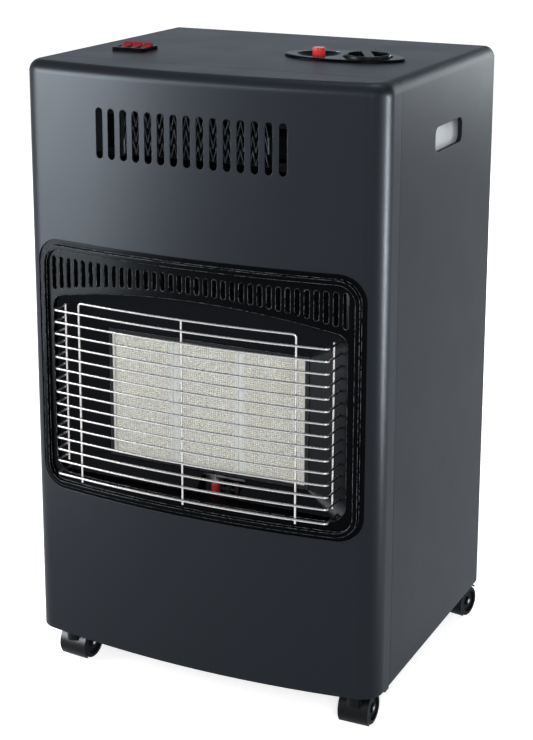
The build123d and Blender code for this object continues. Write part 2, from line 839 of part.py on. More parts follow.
def build_gas_valve():
    front = control_behind - valve_reach
    back = control_behind + valve_reach
    top = valve_z + valve_height
    collar_bore = collar_radius + button_clearance
    with BuildPart() as gas_valve:
        block(knob_x - valve_half, knob_x + valve_half, front, back, valve_z, top)
        fillet(gas_valve.edges().filter_by(Axis.Z), 3)
        rod(knob_x, control_behind, top, well_under, collar_bore + 2.5)
        rod(knob_x, control_behind, top - 4, well_under + 1, collar_bore, Mode.SUBTRACT)
        rod(knob_x, control_behind, top - 26, top, spindle_radius + running_fit, Mode.SUBTRACT)
        for x in (knob_x - 14, knob_x, knob_x + 14):
            rod_back(x, valve_z + 24, front - port_reach, front + 1, pipe_radius + 2.5)
            seat = pipe_radius + running_fit
            rod_back(x, valve_z + 24, front - port_reach - 1, front - 2, seat, Mode.SUBTRACT)
        for x, radius in ((knob_x - 7, lead_radius), (knob_x + 7, pilot_radius)):
            rod_back(x, valve_z + 8, front - port_reach, front + 1, radius + 2.5)
            rod_back(x, valve_z + 8, front - port_reach - 1, front - 2, radius + running_fit, Mode.SUBTRACT)
    save(gas_valve.part, "gas_valve")
    with BuildPart() as hose_nozzle:
        with BuildSketch(upright(back + 9)):
            with Locations((knob_x, valve_z + 16)):
                RegularPolygon(2 * nozzle_radius, 6)
        extrude(amount=9)
        rod_back(knob_x, valve_z + 16, back + 9, back + 34, nozzle_radius)
        for step in (11.5, 14.5, 17.5):
            with Locations(Location(at(knob_x, back + step, valve_z + 16), (90, 0, 0))):
                Torus(nozzle_radius + 0.3, 0.6, mode=Mode.SUBTRACT)
        rod_back(knob_x, valve_z + 16, back + 3, back + 35, nozzle_radius - 1.8, Mode.SUBTRACT)
    save(hose_nozzle.part, "hose_nozzle")


def build_spindle_and_knob():
    with BuildPart() as push_collar:
        rod(knob_x, control_behind, well_under - 3.4, well_under - 0.2, collar_radius)
        rod(knob_x, control_behind, well_under - 4, well_under, spindle_radius + running_fit, Mode.SUBTRACT)
    save(push_collar.part, "push_collar")
    with BuildPart() as valve_spindle:
        rod(knob_x, control_behind, valve_z + 18, knob_bottom + 6, spindle_radius)
        rod(knob_x, control_behind, well_under - 5.4, well_under - 3.6, spindle_radius + 1.5)
    save(valve_spindle.part, "valve_spindle")
    with BuildPart() as control_knob:
        rod(knob_x, control_behind, knob_bottom, knob_top, knob_radius)
        fillet(control_knob.faces().sort_by(Axis.Z)[-1].edges(), 1.5)
        with BuildSketch(level(knob_top)) as pockets:
            with Locations((knob_x, seam_y + control_behind)):
                Circle(knob_radius - 2.5)
                Rectangle(3 * knob_radius, knob_grip, rotation=knob_grip_turn, mode=Mode.SUBTRACT)
            fillet(pockets.vertices(), 2)
        extrude(amount=-knob_pocket, mode=Mode.SUBTRACT)
        rod(knob_x, control_behind, knob_bottom - 1, knob_bottom + 6, spindle_radius, Mode.SUBTRACT)
    save(control_knob.part, "control_knob")


def build_control_bezel():
    with BuildPart() as control_bezel:
        with BuildSketch(level(body_top)):
            with Locations((bezel_x, seam_y + control_behind)):
                Ellipse(bezel_long, bezel_short)
        extrude(amount=bezel_thick)
        fillet(control_bezel.faces().sort_by(Axis.Z)[-1].edges(), 2)
        rod(knob_x, control_behind, well_under, body_top + 1, well_radius + 2)
        rod(button_x, control_behind, dish_under, body_top + 1, dish_body)
        rod(knob_x, control_behind, well_floor, body_top + 9, well_radius, Mode.SUBTRACT)
        ball = (dish_radius ** 2 + dish_depth ** 2) / (2 * dish_depth)
        with Locations(at(button_x, control_behind, dish_floor + ball)):
            Sphere(ball, mode=Mode.SUBTRACT)
        rod(button_x, control_behind, dish_under - 1, body_top + 9, button_hole, Mode.SUBTRACT)
        rod(knob_x, control_behind, well_under - 1, body_top, collar_radius + 1, Mode.SUBTRACT)
    save(control_bezel.part, "control_bezel")


def build_igniter():
    low = dish_under - 46
    with BuildPart() as igniter_body:
        rod(button_x, control_behind, low, dish_under, button_hole + 3)
        rod(button_x, control_behind, dish_under - 3, dish_under, button_hole + 6)
        button_low = button_bottom - button_travel - 1
        rod(button_x, control_behind, button_low, dish_under + 1, button_hole, Mode.SUBTRACT)
        rod(button_x, control_behind, low + 14, dish_under, 3 + button_clearance, Mode.SUBTRACT)
        block(button_x - 0.4, button_x + 0.4, control_behind - 3, control_behind + 3, low - 8, low)
    save(igniter_body.part, "igniter_body")
    with BuildPart() as igniter_button:
        rod(button_x, control_behind, button_bottom, button_top, button_radius)
        fillet(igniter_button.faces().sort_by(Axis.Z)[-1].edges(), 1.5)
        with BuildSketch(level(dish_floor)):
            with Locations((button_x, seam_y + control_behind)):
                with PolarLocations(button_radius + 0.5, 16):
                    Circle(1.0)
        extrude(amount=button_top - dish_floor + 1, mode=Mode.SUBTRACT)
        rod(button_x, control_behind, button_bottom - 18, button_bottom, 3)
    save(igniter_button.part, "igniter_button")


def build_switches():
    deep = body_top - switch_depth
    rocker_places = [switch_x + step * rocker_pitch for step in (-1, 0, 1)]
    with BuildPart() as switch_bezel:
        block(
            switch_x - switch_width / 2,
            switch_x + switch_width / 2,
            switch_behind - switch_length / 2,
            switch_behind + switch_length / 2,
            body_top,
            body_top + switch_rise,
        )
        fillet(switch_bezel.edges().filter_by(Axis.Z), 3)
        fillet(switch_bezel.faces().sort_by(Axis.Z)[-1].edges(), 1)
        block(
            switch_x - switch_skirt / 2,
            switch_x + switch_skirt / 2,
            switch_behind - switch_hole_length / 2 + seat_gap,
            switch_behind + switch_hole_length / 2 - seat_gap,
            deep,
            body_top + 1,
        )
        for x in rocker_places:
            well = rocker_width / 2 + rocker_gap
            block(
                x - well,
                x + well,
                switch_behind - switch_well / 2,
                switch_behind + switch_well / 2,
                deep - 1,
                body_top + 9,
                Mode.SUBTRACT,
            )
        pin_hole = pivot_pin + running_fit
        pin_from = rocker_places[0] - rocker_width / 2 - 1.7
        pin_to = rocker_places[2] + rocker_width / 2 + 1.7
        rod_across(switch_behind, rocker_z, pin_from, pin_to, pin_hole, Mode.SUBTRACT)
    save(switch_bezel.part, "switch_bezel")
    for name, x in zip(("left", "middle", "right"), rocker_places):
        turn = radians(rocker_tilt)
        middle = Plane(
            origin=at(x, switch_behind, rocker_z), x_dir=(0, cos(turn), sin(turn)), z_dir=(1, 0, 0)
        )
        with BuildPart() as rocker:
            with BuildSketch(middle.offset(-rocker_width / 2)):
                with BuildLine():
                    ThreePointArc((-rocker_half, 6.5), (0, 4.2), (rocker_half, 6.5))
                    Polyline((rocker_half, 6.5), (rocker_half - 1, 1), (4, -5), (-4, -5))
                    Polyline((-4, -5), (1 - rocker_half, 1), (-rocker_half, 6.5))
                make_face()
            extrude(amount=rocker_width)
            with BuildSketch(middle.offset(-rocker_width / 2 - 0.9)):
                Circle(pivot_pin)
            extrude(amount=rocker_width + 1.8)
        save(rocker.part, f"rocker_switch_{name}")
    with BuildPart() as switch_bodies:
        case = rocker_pitch / 2 - 0.7
        cup = case - sheet
        for x in rocker_places:
            block(x - case, x + case, switch_behind - 13, switch_behind + 13, deep - 20, deep)
            block(x - cup, x + cup, switch_behind - 11, switch_behind + 11, deep - 4, deep + 1, Mode.SUBTRACT)
            for end in (-8, 0, 8):
                tab = switch_behind + end
                block(x - 0.4, x + 0.4, tab - 2.4, tab + 2.4, deep - 28, deep - 20)
    save(switch_bodies.part, "switch_bodies")


def build_pipes():
    port = control_behind - valve_reach - 2
    port_z = valve_z + 24
    rail_foot = rail_top - 4
    runs = (
        (knob_x + 14, pipe_x + 20, 20, -mixer_spread, 30),
        (knob_x, pipe_x + 10, 34, 0, 22),
        (knob_x - 14, pipe_x, 48, mixer_spread, 14),
    )
    with BuildPart() as gas_pipes:
        for port_x, down_x, reach, end_x, drop in runs:
            route = [
                at(port_x, port, port_z),
                at(port_x, port - reach, port_z),
                at(down_x, port - reach, port_z),
                at(down_x, mixer_behind, port_z),
                at(down_x, mixer_behind, rail_foot - drop),
                at(end_x, mixer_behind, rail_foot - drop),
                at(end_x, mixer_behind, rail_foot),
            ]
            add(tube(route, pipe_radius, pipe_bend))
    save(gas_pipes.part, "gas_pipes")
    small_z = valve_z + 8
    feed_x = pipe_x - 9
    feed_low = shelf_z - 29
    burner_x = pilot_x + pilot_gap
    route = [
        at(knob_x + 7, port, small_z),
        at(knob_x + 7, port - 16, small_z),
        at(feed_x, port - 16, small_z),
        at(feed_x, mixer_behind, small_z),
        at(feed_x, mixer_behind, feed_low),
        at(feed_x, pilot_behind, feed_low),
        at(burner_x, pilot_behind, feed_low),
        at(burner_x, pilot_behind, shelf_z - 7),
    ]
    with BuildPart() as pilot_pipe:
        add(tube(route, pilot_radius, small_bend))
    save(pilot_pipe.part, "pilot_pipe")
    lead_x = pipe_x - 15.5
    lead_low = shelf_z - 19
    sensor_x = pilot_x + sensor_gap
    route = [
        at(knob_x - 7, port, small_z),
        at(knob_x - 7, port - 26, small_z),
        at(lead_x, port - 26, small_z),
        at(lead_x, mixer_behind, small_z),
        at(lead_x, mixer_behind, lead_low),
        at(lead_x, pilot_behind, lead_low),
        at(sensor_x, pilot_behind, lead_low),
        at(sensor_x, pilot_behind, shelf_z - 9),
    ]
    with BuildPart() as thermocouple:
        add(tube(route, lead_radius, small_bend))
        rod(sensor_x, pilot_behind, shelf_z - 11, shelf_z + 27, 2 * lead_radius)
        rod(sensor_x, pilot_behind, shelf_z, shelf_z + 5, 2 * lead_radius + 2)
        fillet(thermocouple.faces().sort_by(Axis.Z)[-1].edges(), 0.4)
    save(thermocouple.part, "thermocouple")


def build_pilot():
    back = reflector_sheet - lip_front
    burner_x = pilot_x + pilot_gap
    sensor_x = pilot_x + sensor_gap
    with BuildPart() as pilot_bracket:
        block(pilot_x - 14, pilot_x + 36, back, back + sheet, shelf_z - 2, mouth_bottom - 3)
        block(pilot_x - 14, pilot_x + 36, back, pilot_behind + 8, shelf_z - sheet, shelf_z)
        for x, radius in ((pilot_x, 3), (burner_x, 2 * pilot_radius), (sensor_x, 2 * lead_radius)):
            rod(x, pilot_behind, shelf_z - 5, shelf_z + 5, radius + running_fit, Mode.SUBTRACT)
    save(pilot_bracket.part, "pilot_bracket")
    with BuildPart() as pilot_burner:
        rod(burner_x, pilot_behind, shelf_z - 10, shelf_z + 10, 2 * pilot_radius)
        rod(burner_x, pilot_behind, shelf_z, shelf_z + 4, 2 * pilot_radius + 1.5)
        rod(burner_x, pilot_behind, shelf_z - 11, shelf_z - 6, pilot_radius + running_fit, Mode.SUBTRACT)
        rod(burner_x, pilot_behind, shelf_z + 10, shelf_z + 20, 3)
        rod_across(pilot_behind, shelf_z + 17, burner_x - 8, burner_x + 8, 1.6)
    save(pilot_burner.part, "pilot_burner")
    with BuildPart() as spark_electrode:
        rod(pilot_x, pilot_behind, shelf_z - 14, shelf_z + 26, 3)
        rod(pilot_x, pilot_behind, shelf_z + 26, shelf_z + 32, 0.9)
        rod(pilot_x, pilot_behind, shelf_z - 20, shelf_z - 14, 1.5)
    save(spark_electrode.part, "spark_electrode")
    with BuildPart() as electrode_boot:
        rod(pilot_x, pilot_behind, shelf_z, shelf_z + 22, 4.8)
        fillet(electrode_boot.faces().sort_by(Axis.Z)[-1].edges(), 1)
        rod(pilot_x, pilot_behind, shelf_z - 1, shelf_z + 23, 3, Mode.SUBTRACT)
    save(electrode_boot.part, "electrode_boot")


def build_fan_heater():
    with BuildPart() as fan_housing:
        block(-fan_half, fan_half, -fan_front, fan_back, deck_z, fan_top)
        block(
            sheet - fan_half,
            fan_half - sheet,
            -fan_front - 1,
            fan_back - sheet,
            deck_z + sheet,
            fan_top - sheet,
            Mode.SUBTRACT,
        )
        rod_across(fan_behind, fan_z, -fan_half - 2, -fan_half + sheet, 7)
        rod_across(fan_behind, fan_z, -fan_half - 4, -fan_half + 4, shaft + running_fit, Mode.SUBTRACT)
        rod_across(fan_behind, fan_z, fan_half - 4, fan_half + 4, 6, Mode.SUBTRACT)
        with BuildSketch(upright(fan_back + 1)):
            with Locations((0, fan_z)):
                with GridLocations(fan_half / 8, 0, 14, 1):
                    SlotOverall(60, 8, rotation=90)
        extrude(amount=4, mode=Mode.SUBTRACT)
    save(fan_housing.part, "fan_housing")
    end = fan_half - sheet - 8
    with BuildPart() as fan_wheel:
        with BuildSketch(sideways(-end)):
            with Locations((fan_y, fan_z)):
                with PolarLocations(fan_radius - 4.5, fan_blades):
                    Rectangle(8, 0.8, rotation=35)
        extrude(amount=2 * end)
        for x in (-end, -0.75, end - 1.5):
            rod_across(fan_behind, fan_z, x, x + 1.5, fan_radius)
        rod_across(fan_behind, fan_z, -fan_half - 3, fan_half + 24, shaft)
        rod_across(fan_behind, fan_z, end - 1, end + 6, 5)
    save(fan_wheel.part, "fan_wheel")
    with BuildPart() as fan_motor:
        block(fan_half + 7, fan_half + 27, fan_behind - 21, fan_behind + 21, fan_z - 20, fan_z + 20)
        fillet(fan_motor.edges().filter_by(Axis.X), 3)
        block(fan_half + 10, fan_half + 24, fan_behind - 16, fan_behind + 16, fan_z - 32, fan_z - 19)
        rod_across(fan_behind, fan_z, fan_half, fan_half + 35, 12)
        for behind in (fan_behind - 16, fan_behind + 16):
            rod_across(behind, fan_z + 14, fan_half, fan_half + 8, 2.5)
            rod_across(behind, fan_z - 14, fan_half, fan_half + 8, 2.5)
        rod_across(fan_behind, fan_z, fan_half - 1, fan_half + 26, shaft + running_fit, Mode.SUBTRACT)
    save(fan_motor.part, "fan_motor")


def build_element():
    lug = fan_half - sheet - seat_gap
    with BuildPart() as element_frame:
        for z in bar_heights:
            block(-element_half, element_half, -element_front, 2 - element_front, z - 1.5, z + 1.5)
        for side in (-1, 1):
            edges = sorted((side * (element_half - 4), side * element_half))
            low = bar_heights[3] - 4
            high = bar_heights[0] + 4
            block(edges[0], edges[1], -element_front, 4 - element_front, low, high)
            edges = sorted((side * element_half, side * lug))
            for z in (bar_heights[0], bar_heights[3]):
                block(edges[0], edges[1], -element_front, 2 - element_front, z - 4, z + 4)
    save(element_frame.part, "element_frame")
    reach = element_half - 6
    half_pitch = reach / element_turns
    with BuildPart() as heating_element:
        for high, low in zip(bar_heights[:-1], bar_heights[1:]):
            steps = range(2 * element_turns + 1)
            crest = [(-reach + half_pitch * step, high if step % 2 else low) for step in steps]
            upper = [(x, z + 0.7) for x, z in crest]
            lower = [(x, z - 0.7) for x, z in reversed(crest)]
            with BuildSketch(upright(-element_front)):
                with BuildLine():
                    Polyline(*upper, *lower, close=True)
                make_face()
            extrude(amount=3)
        for side, row in ((1, 1), (-1, 2)):
            edges = sorted((side * (reach - 0.6), side * (reach + 1)))
            low = bar_heights[row + 1] - 0.7
            high = bar_heights[row] + 0.7
            block(edges[0], edges[1], -element_front - 3, -element_front, low, high)
        top = bar_heights[1]
        block(reach - 0.6, reach + 1, -element_front - 3, -element_front, top, top + 0.7)
    save(heating_element.part, "heating_element")


def build_cable_gland():
    face = shell_depth + seat_gap
    with BuildPart() as cable_gland:
        rod_back(gland_x, gland_z, face - 8, face + 12, gland_radius)
        rod_back(gland_x, gland_z, face + sheet, face + sheet + 4, gland_radius + 4)
        with BuildSketch(upright(face)):
            with Locations((gland_x, gland_z)):
                RegularPolygon(gland_radius + 4, 6)
        extrude(amount=5)
        rod_back(gland_x, gland_z, face - 9, face + 13, gland_bore, Mode.SUBTRACT)
    save(cable_gland.part, "cable_gland")


def guard_behind(x):
    """where the bowed cross wires lie at a distance from the middle"""
    return guard_bow * (x / guard_half) ** 2 - guard_front


def cross_wire():
    """one bowed wire lying on the floor, both ends bent back"""
    nose = seam_y - guard_front
    ends = nose + guard_bow
    tails = seam_y - guard_tail
    with BuildPart() as run:
        with BuildLine() as path:
            ThreePointArc((-guard_half, ends), (0, nose), (guard_half, ends))
            for side in (-1, 1):
                Line((side * guard_half, ends), (side * guard_half, tails))
            fillet(path.vertices().sort_by(Axis.Y)[:2], wire_bend)
        course = path.wire()
        with BuildSketch(Plane(origin=course @ 0, z_dir=course % 0)):
            Circle(wire / 2)
        sweep(path=course)
    return run.part


def build_wire_guard():
    rod_offset = wire - weld
    post_left = at(guard_post_left, guard_behind(guard_post_left) + rod_offset, guard_foot)
    post_right = at(guard_post_right, guard_behind(guard_post_right) + rod_offset, guard_foot)
    steps = [guard_post_left + (guard_post_right - guard_post_left) * step / 6 for step in range(7)]
    top_bar = [at(x, guard_behind(x) + rod_offset, guard_top) for x in steps]
    hoop = tube([post_left] + top_bar + [post_right], wire / 2, wire_bend)
    loop = cross_wire()
    rear_x = guard_half - rod_offset
    with BuildPart() as wire_guard:
        add(hoop)
        rod(guard_post_middle, rod_offset - guard_front, guard_foot, guard_top, wire / 2)
        for side in (-1, 1):
            rod(side * rear_x, -guard_rear, wire_heights[-2] - 6, wire_top + 2, wire / 2)
        for z in wire_heights:
            add(Pos(0, 0, z) * loop)
    save(wire_guard.part, "wire_guard")


def build_castor_sockets():
    with BuildPart() as castor_sockets:
        for x, behind, heading in castor_places.values():
            rod(x, behind, body_bottom - 1, body_bottom + 24, socket_radius)
            rod(x, behind, tray_top, tray_top + tray_sheet, socket_plate)
            rod(x, behind, body_bottom - 2, body_bottom + 20, stem_radius + running_fit, Mode.SUBTRACT)
    save(castor_sockets.part, "castor_sockets")


def build_castor(corner, stem_x, stem_behind, heading):
    trail_x = cos(radians(heading))
    trail_y = sin(radians(heading))
    axle = Plane(
        origin=at(stem_x + castor_trail * trail_x, stem_behind + castor_trail * trail_y, wheel_radius),
        x_dir=(trail_x, trail_y, 0),
        z_dir=(trail_y, -trail_x, 0),
    )
    hood_inner = wheel_radius + hood_gap
    hood_outer = hood_inner + hood_thick
    cut = [
        (60 * cos(radians(turn)), 60 * sin(radians(turn))) for turn in (222, 270, 318, 366, 410)
    ]
    with BuildPart() as hood:
        with BuildSketch(axle.offset(-hood_width / 2)):
            Circle(hood_outer)
            Circle(hood_inner, mode=Mode.SUBTRACT)
            with BuildLine():
                Polyline((0, 0), *cut, close=True)
            make_face(mode=Mode.SUBTRACT)
        extrude(amount=hood_width)
        with BuildSketch(axle.offset(-castor_web / 2)):
            Circle(hood_outer)
            with BuildLine():
                Polyline((0, 0), *cut, close=True)
            make_face(mode=Mode.SUBTRACT)
            Circle(6)
        extrude(amount=castor_web)
        rod(stem_x, stem_behind, wheel_radius + 9, boss_top, 8)
        rod(stem_x, stem_behind, boss_top, body_bottom - 1.4, 5.5)
        rod(stem_x, stem_behind, boss_top, body_bottom + 18, stem_radius)
        with BuildSketch(axle.offset(-wheel_offset - wheel_width)):
            Circle(wheel_radius + hood_gap)
        extrude(amount=wheel_offset + wheel_width - castor_web / 2, mode=Mode.SUBTRACT)
        with BuildSketch(axle.offset(castor_web / 2)):
            Circle(wheel_radius + hood_gap)
        extrude(amount=wheel_offset + wheel_width - castor_web / 2, mode=Mode.SUBTRACT)
        with BuildSketch(axle.offset(-castor_web)):
            Circle(axle_radius + running_fit)
        extrude(amount=2 * castor_web, mode=Mode.SUBTRACT)
    save(hood.part, f"castor_hood_{corner}")
    with BuildPart() as wheels:
        for side in (-1, 1):
            with BuildSketch(axle.offset(side * wheel_offset - wheel_width / 2)):
                Circle(wheel_radius)
                Circle(axle_radius, mode=Mode.SUBTRACT)
            extrude(amount=wheel_width)
        fillet(wheels.edges().filter_by(GeomType.CIRCLE).group_by(SortBy.RADIUS)[-1], 2)
        for side in (-1, 1):
            with BuildSketch(axle.offset(side * (wheel_offset + wheel_width / 2))):
                Circle(wheel_radius - 5)
                Circle(axle_radius + 3, mode=Mode.SUBTRACT)
            extrude(amount=-side * 2.5, mode=Mode.SUBTRACT)
    save(wheels.part, f"castor_wheels_{corner}")
    reach = wheel_offset + wheel_width / 2 - 0.2
    with BuildPart() as axle_pin:
        with BuildSketch(axle.offset(-reach)):
            Circle(axle_radius)
        extrude(amount=2 * reach)
    save(axle_pin.part, f"castor_axle_{corner}")


build_cabinet_shell()
build_front_panel()
build_base_tray()
build_rear_cover()
build_heat_shield()
build_upper_deck()
build_side_liner(-1, "side_liner_left")
build_side_liner(1, "side_liner_right")
build_upper_back_panel()
build_burner_surround()
build_reflector()
build_burner_body()
build_plaques()
build_plaque_retainer()
build_mixers()
build_gas_valve()
build_spindle_and_knob()
build_control_bezel()
build_igniter()
build_switches()
build_pipes()
build_pilot()
build_fan_heater()
build_element()
build_cable_gland()
build_wire_guard()
build_castor_sockets()
for corner, (stem_x, stem_behind, heading) in castor_places.items():
    build_castor(corner, stem_x, stem_behind, heading)
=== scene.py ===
import math

import bmesh
import bpy
from mathutils import Matrix, Vector


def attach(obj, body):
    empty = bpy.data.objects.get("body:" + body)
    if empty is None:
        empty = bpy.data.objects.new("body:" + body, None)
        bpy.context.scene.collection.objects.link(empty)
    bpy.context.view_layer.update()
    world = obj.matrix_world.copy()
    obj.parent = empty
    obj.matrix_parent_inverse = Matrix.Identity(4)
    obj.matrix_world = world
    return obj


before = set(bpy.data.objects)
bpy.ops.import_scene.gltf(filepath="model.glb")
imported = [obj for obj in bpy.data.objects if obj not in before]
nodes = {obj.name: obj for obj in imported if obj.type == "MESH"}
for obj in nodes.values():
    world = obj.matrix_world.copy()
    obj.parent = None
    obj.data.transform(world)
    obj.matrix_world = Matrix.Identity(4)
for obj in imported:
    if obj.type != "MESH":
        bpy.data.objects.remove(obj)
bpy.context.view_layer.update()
bpy.context.scene.view_settings.view_transform = "Standard"
print("frame loaded:", len(nodes), "nodes")

seamY = -0.135375                       # the seam between front panel and shell, in metres


def behind(mm):
    return seamY + mm / 1000            # how far back a place is, from its millimetres behind the seam


def addNode(tree, kind, **settings):
    node = tree.nodes.new(kind)
    for key, value in settings.items():
        setattr(node, key, value)
    return node


def feed(tree, socket, value):
    # links another node's output, or sets a number, a vector or a colour
    if isinstance(value, bpy.types.NodeSocket):
        tree.links.new(value, socket)
    elif socket.type == "RGBA" and len(value) == 3:
        socket.default_value = (*value, 1)
    else:
        socket.default_value = value


def compute(tree, operation, first, second=None, clamp=False):
    node = addNode(tree, "ShaderNodeMath", operation=operation, use_clamp=clamp)
    feed(tree, node.inputs[0], first)
    if second is not None:
        feed(tree, node.inputs[1], second)
    return node.outputs[0]


def computeVector(tree, operation, first, second):
    node = addNode(tree, "ShaderNodeVectorMath", operation=operation)
    feed(tree, node.inputs[0], first)
    feed(tree, node.inputs[1], second)
    return node.outputs["Value"] if operation in ("DOT_PRODUCT", "DISTANCE") else node.outputs[0]


def mixColour(tree, factor, first, second):
    node = addNode(tree, "ShaderNodeMix", data_type="RGBA")
    for place, value in ((0, factor), (6, first), (7, second)):         # 6 and 7 are its colour sockets
        feed(tree, node.inputs[place], value)
    return node.outputs[2]


def spread(tree, value, low, high, toLow=0.0, toHigh=1.0):
    # low to high becomes toLow to toHigh, and nothing goes past them
    node = addNode(tree, "ShaderNodeMapRange")
    for place, part in enumerate((value, low, high, toLow, toHigh)):
        feed(tree, node.inputs[place], part)
    return node.outputs[0]


def objectPlace(tree):
    return addNode(tree, "ShaderNodeTexCoord").outputs["Object"]


def axesOf(tree, vector):
    split = addNode(tree, "ShaderNodeSeparateXYZ")
    feed(tree, split.inputs[0], vector)
    return split.outputs


def noise(tree, vector, scale, detail, rough):
    node = addNode(tree, "ShaderNodeTexNoise")
    for label, value in (("Vector", vector), ("Scale", scale), ("Detail", detail), ("Roughness", rough)):
        feed(tree, node.inputs[label], value)
    return node.outputs[0]


socketKinds = {"colour": "NodeSocketColor", "number": "NodeSocketFloat", "vector": "NodeSocketVector"}


def newGroup(name, inputs, outputs):
    group = bpy.data.node_groups.new(name, "ShaderNodeTree")
    for label, (kind, value) in inputs.items():
        group.interface.new_socket(label, in_out="INPUT", socket_type=socketKinds[kind]).default_value = value
    for label, kind in outputs.items():
        group.interface.new_socket(label, in_out="OUTPUT", socket_type=socketKinds[kind])
    return group, group.nodes.new("NodeGroupInput").outputs, group.nodes.new("NodeGroupOutput").inputs


# In the patterns and looks below a noise is its scale, detail and roughness, a range is from and to,
# a colour is linear red, green and blue, and a length is in metres.
grainPattern = {
    "fineDetail": 3.0, "fineRough": 0.55, "broad": (14.0, 5.0, 0.6), "shade": (0.3, 0.7), "darker": 0.22,
}


def makeGrainGroup(pattern):
    # fine all-over grain of paint, moulded plastic, rubber and castings
    group, given, result = newGroup(
        "surfaceGrain",
        {"Colour": ("colour", (0.5, 0.5, 0.5, 1)), "Scale": ("number", 900.0), "Mottle": ("number", 0.1),
         "Roughness": ("number", 0.4), "Roughness Spread": ("number", 0.08)},
        {"Colour": "colour", "Roughness": "number", "Height": "number"},
    )
    place = objectPlace(group)
    fine = noise(group, place, given["Scale"], pattern["fineDetail"], pattern["fineRough"])
    shade = spread(group, noise(group, place, *pattern["broad"]), *pattern["shade"])
    amount = compute(group, "MULTIPLY", shade, given["Mottle"])
    darker = mixColour(group, pattern["darker"], given["Colour"], (0, 0, 0))
    wave = compute(group, "MULTIPLY", compute(group, "SUBTRACT", shade, 0.5), given["Roughness Spread"])
    feed(group, result["Colour"], mixColour(group, amount, given["Colour"], darker))
    feed(group, result["Roughness"], compute(group, "ADD", given["Roughness"], wave, clamp=True))
    feed(group, result["Height"], fine)
    return group


dustPattern = {"facingUp": (0.55, 1.0), "patches": (38.0, 6.0, 0.65), "gathered": (0.38, 0.75)}


def makeDustGroup(pattern):
    # thin dust on what faces up, thicker where the noise gathers it
    group, given, result = newGroup(
        "settledDust",
        {"Colour": ("colour", (0.5, 0.5, 0.5, 1)), "Dust": ("colour", (0.45, 0.43, 0.4, 1)),
         "Amount": ("number", 0.1)},
        {"Colour": "colour"},
    )
    facing = axesOf(group, addNode(group, "ShaderNodeNewGeometry").outputs["Normal"])["Z"]
    upward = spread(group, facing, *pattern["facingUp"])
    gathered = spread(group, noise(group, objectPlace(group), *pattern["patches"]), *pattern["gathered"])
    lying = compute(group, "MULTIPLY", upward, gathered)
    mask = compute(group, "MULTIPLY", lying, given["Amount"], clamp=True)
    feed(group, result["Colour"], mixColour(group, mask, given["Colour"], given["Dust"]))
    return group


edgePattern = {
    "roundSamples": 6, "wearSamples": 4, "turned": (0.995, 0.82), "chips": (210.0, 5.0, 0.7),
    "broken": (0.42, 0.6),
}


def makeEdgeGroup(pattern):
    # light scuffing where an edge turns, and on the gloss black a painted highlight along its edges, broken
    # up by noise, and a normal that rounds the edge
    group, given, result = newGroup(
        "edgeWearAndHighlight",
        {"Colour": ("colour", (0.5, 0.5, 0.5, 1)), "Worn": ("colour", (0.6, 0.6, 0.6, 1)),
         "Width": ("number", 0.0008), "Amount": ("number", 0.3), "Round": ("number", 0.0005)},
        {"Colour": "colour", "Normal": "vector"},
    )
    rounded = addNode(group, "ShaderNodeBevel", samples=pattern["roundSamples"])
    feed(group, rounded.inputs["Radius"], given["Round"])
    bent = addNode(group, "ShaderNodeBevel", samples=pattern["wearSamples"])
    feed(group, bent.inputs["Radius"], given["Width"])
    flat = addNode(group, "ShaderNodeNewGeometry").outputs["True Normal"]
    agreement = computeVector(group, "DOT_PRODUCT", bent.outputs[0], flat)      # 1 away from any edge
    turned = spread(group, agreement, *pattern["turned"])
    broken = spread(group, noise(group, objectPlace(group), *pattern["chips"]), *pattern["broken"])
    edgeMarks = compute(group, "MULTIPLY", turned, broken)
    mask = compute(group, "MULTIPLY", edgeMarks, given["Amount"], clamp=True)
    feed(group, result["Colour"], mixColour(group, mask, given["Colour"], given["Worn"]))
    feed(group, result["Normal"], rounded.outputs[0])
    return group


brushPattern = {"detail": 4.0, "rough": 0.6}


def makeBrushGroup(pattern):
    # drawn or brushed lines, squeezed together along the axes that Stretch makes large
    group, given, result = newGroup(
        "brushedLines",
        {"Stretch": ("vector", (1.0, 1.0, 40.0)), "Scale": ("number", 60.0)},
        {"Value": "number"},
    )
    squeezed = computeVector(group, "MULTIPLY", objectPlace(group), given["Stretch"])
    lines = noise(group, squeezed, given["Scale"], pattern["detail"], pattern["rough"])
    feed(group, result["Value"], lines)
    return group


spanglePattern = {"wobble": (45.0, 3.0, 0.5), "shift": 0.012, "roughness": (0.28, 0.5)}


def makeSpangleGroup(pattern):
    # the crystal pattern of hot-dip zinc
    group, given, result = newGroup(
        "zincSpangle",
        {"Light": ("colour", (0.7, 0.71, 0.72, 1)), "Dark": ("colour", (0.5, 0.51, 0.53, 1)),
         "Scale": ("number", 130.0)},
        {"Colour": "colour", "Roughness": "number"},
    )
    wobble = noise(group, objectPlace(group), *pattern["wobble"])
    shift = compute(group, "MULTIPLY", wobble, pattern["shift"])
    cells = addNode(group, "ShaderNodeTexVoronoi")
    feed(group, cells.inputs["Vector"], computeVector(group, "ADD", objectPlace(group), shift))
    feed(group, cells.inputs["Scale"], given["Scale"])
    crystal = addNode(group, "ShaderNodeSeparateColor")                 # each cell has its own colour
    feed(group, crystal.inputs[0], cells.outputs["Color"])
    shade, gloss = crystal.outputs["Red"], crystal.outputs["Green"]
    feed(group, result["Colour"], mixColour(group, shade, given["Light"], given["Dark"]))
    feed(group, result["Roughness"], spread(group, gloss, 0.0, 1.0, *pattern["roughness"]))
    return group


heatPattern = {
    "patches": (26.0, 5.0, 0.5), "gathered": (0.3, 0.6),
    "straw": (0.32, 0.25, 0.15, 1), "purple": (0.16, 0.11, 0.12, 1), "grey": (0.07, 0.075, 0.1, 1),
}


